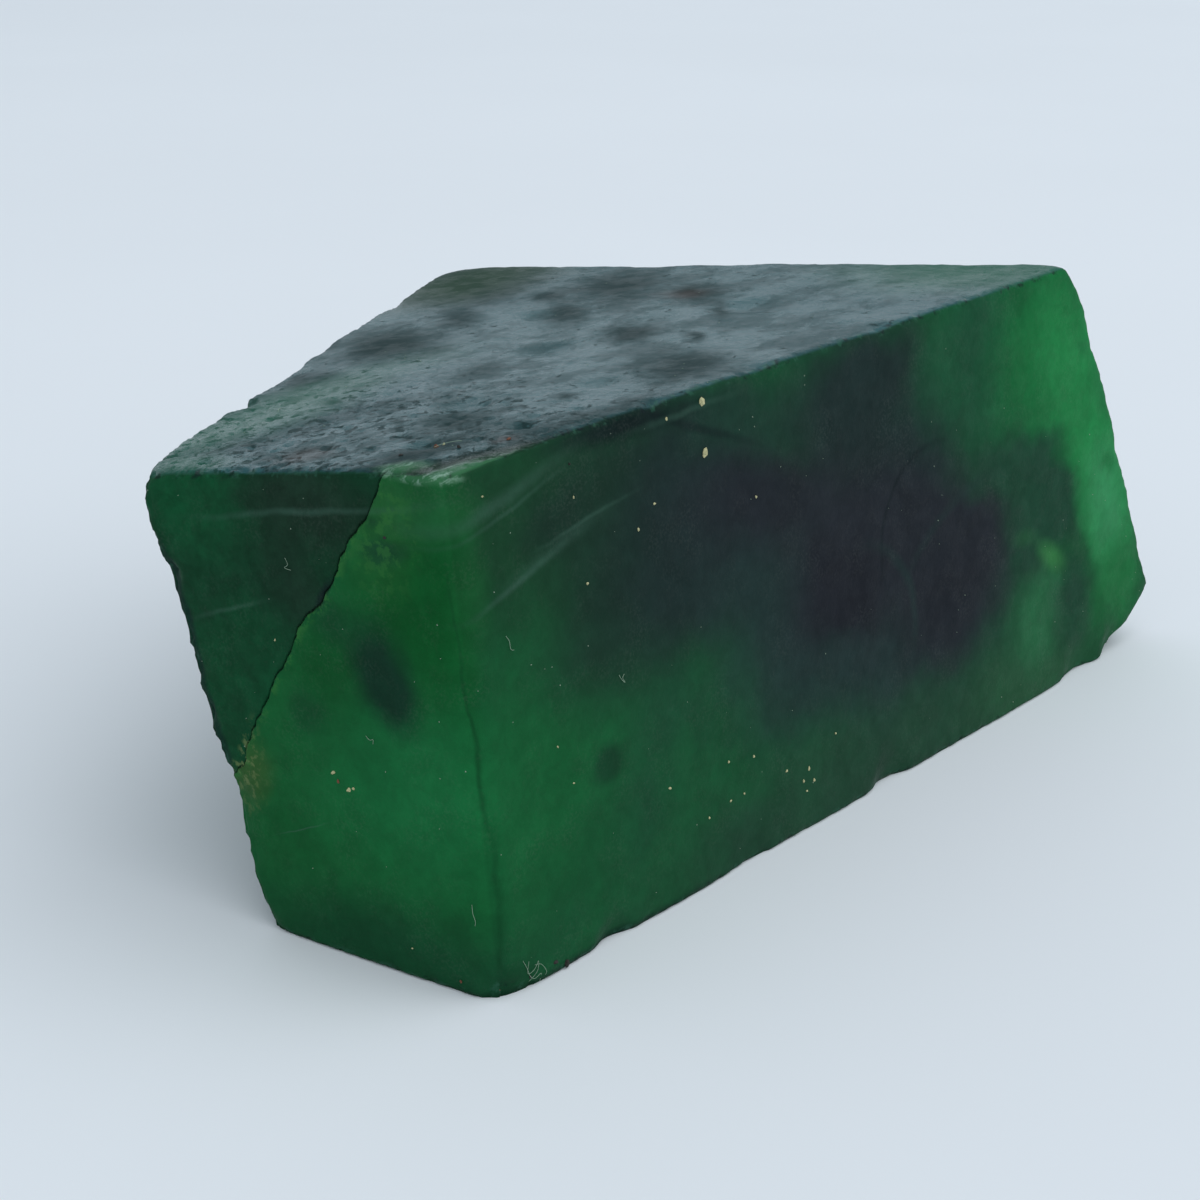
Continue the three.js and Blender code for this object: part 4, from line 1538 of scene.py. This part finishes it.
    def gloss(self, ground: Ground, waxy: NodeSocket, grain: Node) -> tuple[NodeSocket, NodeSocket]:
        """Makes the top glossy where it is waxy, and the rest dull.

        Args:
            ground: What the steps share.
            waxy: Share of film at each point.
            grain: The fine grain of the skin.

        Returns:
            The weight of the coat, and the roughness below it.
        """
        sheet = ground.sheet
        film = sheet.times(waxy, sheet.ramp(ground.along, 8.0, 38.0, 1.0, 0.68))
        coat = sheet.level(ground.top, self.side_coat, sheet.level(film, self.dull_coat, self.top_coat))
        coat = sheet.times(coat, sheet.ramp(grain.outputs["Height"], 0.2, 0.7, 0.75, 1.0))
        rough = sheet.ramp(grain.outputs["Mottle"], 0.0, 1.0, 0.42, 0.62)
        return coat, sheet.math("ADD", rough, sheet.times(ground.broken, 0.2), clamp=True)

    def relief(self, ground: Ground, grain: Node) -> NodeSocket:
        """Roughens the skin: fine grain all over, and pits in the top and the broken faces.

        Args:
            ground: What the steps share.
            grain: The fine grain of the skin.

        Returns:
            The normal.
        """
        sheet = ground.sheet
        fine = sheet.add("ShaderNodeBump", {
            "Strength": 0.35, "Distance": self.grain_height, "Height": grain.outputs["Height"],
        })
        pits = sheet.times(sheet.cloud(ground.at, 2.4, 5.0, 0.7),
                           sheet.math("MAXIMUM", ground.top, ground.broken))
        return sheet.add("ShaderNodeBump", {
            "Strength": sheet.level(ground.near, 0.3, 0.45), "Distance": self.pit_depth, "Height": pits,
            "Normal": fine.outputs[0],
        }).outputs[0]

    def build(self) -> Material:
        """Builds the finish.

        Returns:
            The stone's material.
        """
        material, sheet, place = new_material("cloudy_beryl")
        ground = self.ground(sheet, place)
        colour = self.wedge(ground)
        colour = self.groups.lay(sheet, ground.soft, colour, FINE_ZONES)
        colour = self.veils(sheet, ground.soft, colour)
        colour = self.arcs(sheet, ground.soft, colour)
        colour = self.clouded(ground, colour)
        colour = self.cracked(ground, colour)
        # Painted shade: each face's colour is scaled for how light falls on it.
        colour = sheet.shaded(colour, ground.end, self.long_face_shade, self.end_face_shade)
        waxy = self.waxy(ground)
        colour = self.topped(ground, colour, waxy)
        colour = self.bevelled(ground, colour)
        colour = self.worn(ground, colour)
        film = Groups.place(sheet, self.groups.film, {
            "Position": ground.at, "Colour": colour, "Dust": self.dust_colour,
            "Amount": sheet.math("ADD", self.film_share, sheet.times(ground.broken, self.broken_film)),
        })
        grain = Groups.place(sheet, self.groups.grit, {"Position": ground.at, "Scale": 4.0})
        coat, rough = self.gloss(ground, waxy, grain)
        normal = self.relief(ground, grain)
        sheet.shade({
            "Base Color": film.outputs["Colour"], "Roughness": rough, "Specular IOR Level": 0.02,
            "Coat Weight": coat, "Coat Roughness": self.coat_roughness, "Coat IOR": 1.5,
            "Normal": normal, "Coat Normal": normal,
        })
        return material


@dataclass(frozen=True)
class GritFinish:
    """Dull finish of grains, dust and lint: two colours broken up by fine mottle."""

    groups: Groups
    name: str
    light: Triple
    dark: Triple
    roughness: float = 0.85

    def build(self) -> Material:
        """Builds the finish.

        Returns:
            The material.
        """
        material, sheet, place = new_material(self.name)
        at = sheet.add("ShaderNodeMapping", {0: place, 3: (1.0 / METRES,) * 3}).outputs[0]
        grit = Groups.place(sheet, self.groups.grit, {"Position": at, "Scale": 9.0})
        colour = sheet.blend(grit.outputs["Height"], self.dark, self.light)
        rough = sheet.ramp(grit.outputs["Mottle"], 0.0, 1.0, self.roughness - 0.1, self.roughness + 0.1)
        bump = sheet.add("ShaderNodeBump", {"Strength": 0.5, "Distance": 0.00002,
                                            "Height": grit.outputs["Height"]})
        sheet.shade({"Base Color": colour, "Roughness": rough, "Normal": bump.outputs[0]})
        return material


# ---------------------------------------------------------------- dust, grains and lint


@dataclass(frozen=True)
class Grain:
    """One grain resting on the stone: about where it lies, and its size, in millimetres."""

    at: Triple
    size: float


PALE_GRAINS = (
    Grain((13.0, 1.5, 18.8), 0.170), Grain((13.0, 1.4, 16.9), 0.175), Grain((10.9, 1.5, 18.6), 0.070),
    Grain((8.9, 1.2, 15.0), 0.070), Grain((9.9, 1.3, 15.7), 0.062), Grain((5.9, 1.1, 13.8), 0.070),
    Grain((1.0, 1.5, 18.1), 0.062), Grain((5.5, 1.4, 17.0), 0.055), Grain((16.0, 1.2, 14.5), 0.070),
    Grain((18.7, 0.2, 2.6), 0.086), Grain((18.3, 0.2, 2.2), 0.070), Grain((19.0, 0.2, 2.0), 0.078),
    Grain((18.5, 0.2, 1.7), 0.062), Grain((15.1, 0.4, 4.3), 0.062), Grain((14.4, 0.2, 3.0), 0.062),
    Grain((13.5, 0.2, 3.0), 0.062), Grain((13.5, 0.4, 4.6), 0.055), Grain((9.8, 0.4, 4.8), 0.070),
    Grain((3.8, 0.7, 8.4), 0.047), Grain((4.5, 0.6, 6.8), 0.047), Grain((20.6, 0.3, 3.5), 0.070),
    Grain((12.1, 0.2, 2.8), 0.055), Grain((17.2, 0.2, 3.0), 0.062), Grain((-0.9, 6.9, 7.3), 0.094),
    Grain((-0.8, 6.2, 6.8), 0.101), Grain((-0.8, 6.0, 6.9), 0.070), Grain((-1.0, 9.3, 11.8), 0.047),
    Grain((2.7, 4.7, 18.9), 0.070), Grain((-0.7, 3.7, 1.2), 0.047),
)
RUST_GRAINS = (
    Grain((-0.8, 6.7, 7.0), 0.078), Grain((2.6, 5.0, 18.9), 0.133), Grain((3.7, 2.6, 19.2), 0.086),
    Grain((-0.6, 1.6, 0.5), 0.070), Grain((0.4, 0.4, 0.3), 0.062),
)
DARK_GRAINS = (
    Grain((5.4, 1.5, 18.2), 0.070), Grain((-0.8, 4.1, 16.6), 0.078), Grain((1.6, 0.2, 0.5), 0.078),
    Grain((2.9, 0.2, 0.5), 0.109), Grain((2.2, 3.5, 19.1), 0.109), Grain((1.0, 5.1, 18.8), 0.094),
    Grain((3.5, 0.1, 0.25), 0.150),
)

# Lint hairs, each a chain of places on the skin.
STRANDS = (
    ((1.6, 1.1, 13.1), (1.7, 1.1, 12.9), (1.75, 1.1, 12.6), (1.95, 1.1, 12.5)),
    ((7.3, 0.8, 10.0), (7.4, 0.8, 9.8), (7.55, 0.8, 9.65), (7.45, 0.8, 9.85), (7.6, 0.8, 9.95)),
    ((-0.5, 1.0, 3.7), (-0.5, 0.95, 3.4), (-0.5, 0.85, 3.1), (-0.5, 0.9, 2.9)),
    ((1.2, 0.3, 1.25), (1.4, 0.3, 0.9), (1.55, 0.3, 0.6), (1.8, 0.3, 0.45), (2.1, 0.3, 0.5),
     (2.2, 0.3, 0.3)),
    ((1.5, 0.3, 1.1), (1.45, 0.3, 0.7), (1.75, 0.3, 0.75), (1.95, 0.3, 0.95), (1.9, 0.3, 0.6),
     (1.6, 0.3, 0.4)),
    ((1.8, 0.3, 0.85), (2.1, 0.3, 0.75), (2.35, 0.3, 0.45), (2.25, 0.3, 0.2)),
    ((-0.9, 5.3, 9.1), (-0.9, 5.1, 9.0), (-0.9, 4.95, 9.05), (-0.9, 5.0, 8.85)),
    ((-1.0, 8.6, 15.0), (-1.0, 8.45, 14.8), (-1.0, 8.6, 14.65), (-1.0, 8.35, 14.6)),
    ((3.1, 4.2, 19.0), (2.9, 4.3, 19.0), (2.5, 4.6, 19.0), (2.2, 4.7, 19.0)),
    ((5.7, 16.2, 17.3), (5.9, 16.35, 17.3), (6.2, 16.6, 17.3)),
)


class GrowthTree:
    """Geometry Nodes tree with a finish, and the way to run it once and keep a plain mesh."""

    GEOMETRY, INTEGER, MATERIAL = "NodeSocketGeometry", "NodeSocketInt", "NodeSocketMaterial"
    tree: NodeTree

    def begin(self, name: str, inputs: dict[str, tuple[str, Any]]) -> tuple[NodeSheet, dict[str, Any], Any]:
        """Starts the tree with its geometry, its own inputs and its finish.

        Args:
            name: The tree's name.
            inputs: Socket type and default value of each input, by name.

        Returns:
            The tree's sheet, its input sockets by name, and its output node.
        """
        every = {"Geometry": (self.GEOMETRY, None), **inputs, "Finish": (self.MATERIAL, None)}
        sheet, port, out = new_group(name, every, {"Geometry": self.GEOMETRY}, "GeometryNodeTree")
        self.tree = sheet.tree
        self.tree.is_modifier = True
        return sheet, port, out

    @staticmethod
    def finish(sheet: NodeSheet, port: dict[str, Any], out: Node, grown: Any) -> None:
        """Ends the tree: real geometry with its finish.

        Args:
            sheet: The tree's sheet.
            port: The tree's input sockets, by name.
            out: The tree's output node.
            grown: The geometry so far.
        """
        solid = sheet.add("GeometryNodeRealizeInstances", {0: grown}).outputs[0]
        coated = sheet.add("GeometryNodeSetMaterial", {"Geometry": solid, "Material": port["Finish"]})
        sheet.feed(out.inputs["Geometry"], coated.outputs[0])

    def run(self, name: str, source: Mesh, finish: Material, values: dict[str, Any]) -> Object:
        """Runs the tree on a mesh.

        Args:
            name: Name of the new piece.
            source: Mesh that the tree starts from.
            finish: The piece's material.
            values: Values of the tree's inputs, by name.

        Returns:
            A plain mesh object.
        """
        carrier = bpy.data.objects.new(f"{name}_carrier", source)
        bpy.context.scene.collection.objects.link(carrier)
        modifier = carrier.modifiers.new("grow", "NODES")
        modifier.node_group = self.tree
        sockets = {item.name: item.identifier for item in self.tree.interface.items_tree
                   if item.in_out == "INPUT"}
        for title, value in {**values, "Finish": finish}.items():
            modifier[sockets[title]] = value
        evaluated = carrier.evaluated_get(bpy.context.evaluated_depsgraph_get())
        mesh = bpy.data.meshes.new_from_object(evaluated)
        carrier.modifiers.remove(modifier)
        bpy.data.objects.remove(carrier)
        mesh.name = name
        piece = bpy.data.objects.new(name, mesh)
        bpy.context.scene.collection.objects.link(piece)
        return piece

    def grow(self, name: str, source: Mesh, finish: Material, values: dict[str, Any]) -> Object:
        """Runs the tree on a mesh, and lets the new piece ride with the stone.

        Args:
            name: Name of the new piece.
            source: Mesh that the tree starts from.
            finish: The piece's material.
            values: Values of the tree's inputs, by name.

        Returns:
            The new piece.
        """
        piece = self.run(name, source, finish, values)
        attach(piece, BODY)
        return piece


class TintTree(GrowthTree):
    """Works out the stone's broad colours at every point of its skin, and keeps them as attributes."""

    def __init__(self) -> None:
        """Builds the tree."""
        kit = ZoneKit("GeometryNodeTree")
        sheet, port, out = self.begin("Broad colours", {"Centre": (VECTOR, PART_CENTRE)})
        place = sheet.add("GeometryNodeInputPosition").outputs[0]
        at = sheet.scaled(place, (1.0 / METRES,) * 3, port["Centre"])
        wavy, frayed, torn = (sheet.warped(at, *warp) for warp in (WAVY, FRAYED, TORN))

        body = sheet.blend(sheet.ramp(sheet.cloud(wavy, 0.16, 3.0), 0.35, 0.65), Beryl.DEEP.value,
                           Beryl.GLOW.value)
        body = sheet.blend(0.6, body, Beryl.BODY.value)
        body = kit.lay(sheet, wavy, body, LONG_ZONES)
        body = kit.lay(sheet, frayed, body, END_ZONES)

        height = sheet.add("ShaderNodeSeparateXYZ", {0: frayed}).outputs["Z"]
        wedge = sheet.blend(sheet.ramp(height, 9.5, 14.5), Beryl.WEDGE_LOW.value, Beryl.WEDGE.value)
        wedge = kit.lay(sheet, wavy, wedge, WEDGE_ZONES)

        # Painted glow of the top's thin rims, kept as its mask.
        green: Any = 0.0
        for zone in TOP_GLOW_ZONES:
            mask = kit.zone_mask(sheet, wavy, zone.centre, zone.reach, zone.softness, zone.strength)
            green = sheet.math("MAXIMUM", green, mask)
        olive = kit.zone_mask(sheet, wavy, (27.6, 26.8, 17.4), (5.8, 3.4, 3.0), 0.7, 0.9)

        kept = port["Geometry"]
        for name, value, kind in (("body", body, "FLOAT_VECTOR"), ("wedge", wedge, "FLOAT_VECTOR"),
                                  ("green", green, "FLOAT"), ("olive", olive, "FLOAT"),
                                  ("dull", self.patches(kit, sheet, torn), "FLOAT")):
            kept = sheet.add("GeometryNodeStoreNamedAttribute", {
                "Geometry": kept, "Name": f"stone_{name}", "Value": value,
            }, data_type=kind, domain="POINT").outputs[0]
        self.finish(sheet, port, out, kept)

    @staticmethod
    def patches(kit: ZoneKit, sheet: NodeSheet, at: Any) -> Any:
        """Share of dull patch at every point of the top face.

        Args:
            kit: The zone groups of the tree.
            sheet: The tree's sheet.
            at: Position socket.

        Returns:
            Values between 0 and 1.
        """
        angle = math.radians(GRAIN_TURN)
        along, across = (math.cos(angle), math.sin(angle), 0.0), (-math.sin(angle), math.cos(angle), 0.0)
        turned = sheet.add("ShaderNodeCombineXYZ", {
            0: sheet.dot(at, along), 1: sheet.dot(at, across),
        }).outputs[0]
        dull: Any = 0.0
        for patch in TOP_PATCHES:
            spot, here = Vector((*patch.centre, 0.0)), turned if patch.turned else at
            if patch.turned:
                spot = Vector((spot.dot(along), spot.dot(across), 0.0))
            reach = (*patch.reach, PATCH_DEPTH)
            mask = kit.zone_mask(sheet, here, tuple(spot), reach, 0.8, patch.strength)
            dull = sheet.math("MAXIMUM", dull, mask)
        return dull


class FibreTree(GrowthTree):
    """Turns lines into thin round fibres with smooth bends."""

    def __init__(self) -> None:
        """Builds the tree."""
        sheet, port, out = self.begin("Lint fibres", {
            "Radius": (FLOAT, 0.00001), "Steps": (self.INTEGER, 24), "Sides": (self.INTEGER, 5),
        })
        curve = sheet.add("GeometryNodeMeshToCurve", {0: port["Geometry"]}).outputs[0]
        smooth = sheet.add("GeometryNodeCurveSplineType", {"Curve": curve},
                           spline_type="CATMULL_ROM").outputs[0]
        even = sheet.add("GeometryNodeResampleCurve", {"Curve": smooth, "Count": port["Steps"]}).outputs[0]
        ring = sheet.add("GeometryNodeCurvePrimitiveCircle", {
            "Resolution": port["Sides"], "Radius": port["Radius"],
        }).outputs[0]
        tube = sheet.add("GeometryNodeCurveToMesh", {
            "Curve": even, "Profile Curve": ring, "Fill Caps": True,
        }).outputs[0]
        self.finish(sheet, port, out, tube)


class GrainTree(GrowthTree):
    """Puts grains on points, or scatters specks over a surface."""

    def __init__(self, name: str, scatter: bool) -> None:
        """Builds the tree.

        Args:
            name: The tree's name.
            scatter: Whether points are scattered over faces, or given by the mesh's vertices.
        """
        sheet, port, out = self.begin(name, {
            "Density": (FLOAT, 1.0), "Seed": (self.INTEGER, 1), "Smallest": (FLOAT, 0.1),
            "Largest": (FLOAT, 0.2), "Lumps": (VECTOR, (1.3, 1.3, 1.3)),
            "Flatten": (VECTOR, (1.0, 0.8, 0.6)),
        })
        points = port["Geometry"]
        if scatter:
            points = sheet.add("GeometryNodeDistributePointsOnFaces", {
                "Mesh": port["Geometry"], "Density": port["Density"], "Seed": port["Seed"],
            }).outputs["Points"]
        size = self._chance(sheet, port["Smallest"], port["Largest"], port["Seed"])
        if not scatter:
            given = sheet.add("GeometryNodeInputNamedAttribute", {"Name": "grain_size"}, data_type="FLOAT")
            size = given.outputs["Attribute"]
        turn = sheet.add("FunctionNodeRandomValue", {1: (FULL_TURN,) * 3}, data_type="FLOAT_VECTOR")
        sheet.feed(turn.inputs["Seed"], port["Seed"])
        ball = sheet.add("GeometryNodeMeshIcoSphere", {"Radius": 1.0, "Subdivisions": 1 if scatter else 2})
        lumps = sheet.add("ShaderNodeTexNoise", {"Scale": 1.4, "Detail": 2.0}).outputs["Color"]
        push = sheet.vector("SUBTRACT", lumps, (0.5,) * 3)
        push = sheet.vector("MULTIPLY", push, port["Lumps"])
        lump = sheet.add("GeometryNodeSetPosition", {
            "Geometry": ball.outputs["Mesh"], "Offset": push,
        }).outputs[0]
        grains = sheet.add("GeometryNodeInstanceOnPoints", {
            "Points": points, "Instance": lump, "Rotation": turn.outputs[0],
            "Scale": sheet.vector("MULTIPLY", size, port["Flatten"]),
        }).outputs[0]
        self.finish(sheet, port, out, grains)

    @staticmethod
    def _chance(sheet: NodeSheet, low: Any, high: Any, seed: Any) -> Any:
        """Random size between two limits.

        Args:
            sheet: The tree's sheet.
            low: The smallest size.
            high: The largest size.
            seed: Seed of the draw.

        Returns:
            The size.
        """
        node = sheet.add("FunctionNodeRandomValue", {2: low, 3: high}, data_type="FLOAT")
        sheet.feed(node.inputs["Seed"], seed)
        return node.outputs[1]


@dataclass
class Litter:
    """Dust specks, loose grains and lint that lie on the stone."""

    block: RoughBlock
    crack: Crack
    groups: Groups
    speck_density: float = 90000.0
    speck_sizes: Pair = (0.012, 0.034)
    lint_radius: float = 0.0085
    lint_rise: float = 0.05
    seed: int = 5

    def rest(self, points: Iterable[Triple]) -> np.ndarray:
        """Points moved onto the stone's skin."""
        placed = np.array(list(points), dtype=float)
        return self.block.press(placed, self.crack.wedge_step(placed), rounds=6)

    def specks(self, stone: Object) -> Object:
        """Scatters fine pale specks over the whole stone.

        Args:
            stone: The finished stone.

        Returns:
            The new piece.
        """
        finish = GritFinish(self.groups, "pale_dust", (0.34, 0.42, 0.33), (0.12, 0.19, 0.12)).build()
        tree = GrainTree("Scatter specks", scatter=True)
        low, high = (size * METRES for size in self.speck_sizes)
        return tree.grow("dust_specks", stone.data.copy(), finish, {
            "Density": self.speck_density, "Seed": self.seed, "Smallest": low, "Largest": high,
        })

    def grains(self) -> list[Object]:
        """Places the larger grains: pale, rusty and dark.

        Returns:
            The new pieces.
        """
        tree = GrainTree("Place grains", scatter=False)
        kinds = (
            ("pale_grains", PALE_GRAINS, (0.62, 0.60, 0.34), (0.36, 0.33, 0.16)),
            ("rust_grains", RUST_GRAINS, (0.24, 0.085, 0.040), (0.09, 0.035, 0.020)),
            ("dark_grains", DARK_GRAINS, (0.030, 0.028, 0.022), (0.008, 0.010, 0.008)),
        )
        pieces = []
        for index, (name, grains, light, dark) in enumerate(kinds):
            finish = GritFinish(self.groups, f"{name}_finish", light, dark).build()
            mesh = bpy.data.meshes.new(name)
            mesh.from_pydata(to_part(self.rest(grain.at for grain in grains)).tolist(), [], [])
            sizes = mesh.attributes.new("grain_size", "FLOAT", "POINT")
            sizes.data.foreach_set("value", [grain.size * METRES for grain in grains])
            pieces.append(tree.grow(name, mesh, finish, {"Seed": self.seed + index}))
        return pieces

    def lint(self) -> Object:
        """Lays the fine pale fibres, each with its ends on the stone and its middle just clear of it.

        Returns:
            The new piece.
        """
        points: list[list[float]] = []
        edges: list[Pair] = []
        for strand in STRANDS:
            placed = self.rest(strand)
            rise = self.lint_radius + self.lint_rise * np.sin(np.linspace(0.0, math.pi, len(placed)))
            placed += self.block.outward(placed) * rise[:, None]
            placed[:, 2] = np.maximum(placed[:, 2], 2.0 * self.lint_radius)
            first = len(points)
            points.extend(to_part(placed).tolist())
            edges.extend((first + index, first + index + 1) for index in range(len(placed) - 1))
        mesh = bpy.data.meshes.new("lint")
        mesh.from_pydata(points, edges, [])
        finish = GritFinish(self.groups, "pale_lint", (0.34, 0.46, 0.34), (0.16, 0.26, 0.17)).build()
        return FibreTree().grow("lint", mesh, finish, {"Radius": self.lint_radius * METRES})


# ---------------------------------------------------------------- studio


@dataclass
class Studio:
    """Pale floor, soft light and the camera."""

    camera_at: Triple = (-0.0774353, -0.0644399, 0.04197)
    camera_right: Triple = (0.6379, -0.7701, 0.0)
    camera_up: Triple = (0.2634, 0.2181, 0.9397)
    camera_back: Triple = (-0.7237, -0.5994, 0.3420)
    lens: float = 72.0
    sensor_width: float = 36.0
    nearest: float = 0.005
    floor_size: float = 3.0
    floor_colour: Triple = (0.83, 0.86, 0.885)
    sky: Triple = (0.80, 0.885, 0.975)
    sky_strength: float = 0.61

    def floor(self) -> Object:
        """Builds the plain floor.

        Returns:
            The floor's object.
        """
        half = self.floor_size / 2
        mesh = bpy.data.meshes.new("studio_floor")
        corners = [(-half, -half, 0), (half, -half, 0), (half, half, 0), (-half, half, 0)]
        mesh.from_pydata(corners, [], [(0, 1, 2, 3)])
        material, sheet, place = new_material("pale_paper")
        tone = sheet.ramp(sheet.cloud(place, 14.0, 3.0), 0.3, 0.7, 0.985, 1.0)
        colour = sheet.blend(1.0, self.floor_colour, sheet.add(
            "ShaderNodeCombineXYZ", {0: tone, 1: tone, 2: tone}).outputs[0], "MULTIPLY")
        sheet.shade({"Base Color": colour, "Roughness": 0.8, "Specular IOR Level": 0.1})
        mesh.materials.append(material)
        floor = bpy.data.objects.new("studio_floor", mesh)
        bpy.context.scene.collection.objects.link(floor)
        return floor

    def lamp(self, name: str, at: Triple, toward: Triple, size: Pair, watts: float, colour: Triple) -> None:
        """Adds one soft rectangular light.

        Args:
            name: The light's name.
            at: Its place, in metres.
            toward: The point it faces.
            size: Its width and height, in metres.
            watts: Its power.
            colour: Its colour.
        """
        light = bpy.data.lights.new(name, "AREA")
        light.shape = "RECTANGLE"
        light.size, light.size_y = size
        light.energy = watts
        light.color = colour
        lamp = bpy.data.objects.new(name, light)
        aim = (Vector(toward) - Vector(at)).to_track_quat("-Z", "Y")
        lamp.matrix_world = Matrix.LocRotScale(Vector(at), aim, None)
        bpy.context.scene.collection.objects.link(lamp)

    def light(self) -> None:
        """Sets the soft sky and the soft boxes."""
        world = bpy.data.worlds.new("studio_sky")
        world.use_nodes = True
        background = world.node_tree.nodes["Background"]
        background.inputs["Color"].default_value = (*self.sky, 1.0)
        background.inputs["Strength"].default_value = self.sky_strength
        bpy.context.scene.world = world
        self.lamp("window_box", (0.04, -0.62, 0.78), (0.0, 0.0, 0.01), (1.60, 1.30), 7.4, (0.96, 0.98, 1.0))
        self.lamp("rear_box", (0.65, 0.54, 0.33), (0.0, 0.0, 0.02), (1.40, 0.50), 0.8, (0.82, 0.93, 1.0))
        bpy.context.scene.view_settings.view_transform = "Standard"

    def camera(self) -> None:
        """Sets up the camera."""
        data = bpy.data.cameras.new("camera")
        data.lens = self.lens
        data.sensor_width = self.sensor_width
        data.clip_start = self.nearest
        camera = bpy.data.objects.new("camera", data)
        axes = [Vector(axis).normalized() for axis in (self.camera_right, self.camera_up, self.camera_back)]
        turn = Matrix(axes).transposed().to_4x4()
        camera.matrix_world = Matrix.Translation(self.camera_at) @ turn
        bpy.context.scene.collection.objects.link(camera)
        bpy.context.scene.camera = camera


# ---------------------------------------------------------------- making


def main() -> None:
    """Builds the studio, the stone and what lies on it."""
    logging.basicConfig(level=logging.INFO, format="%(name)s: %(message)s")
    studio = Studio()
    studio.camera()
    studio.light()
    studio.floor()

    block = RoughBlock()
    crack = Crack(block)
    groups = Groups()
    stone = Stone(block, crack).build(EmeraldFinish(groups).build())
    LOG.info("stone: %d faces", len(stone.data.polygons))

    litter = Litter(block, crack, groups)
    pieces = [litter.specks(stone), *litter.grains(), litter.lint()]
    for piece in pieces:
        LOG.info("%s: %d faces", piece.name, len(piece.data.polygons))


if __name__ == "__main__":
    main()
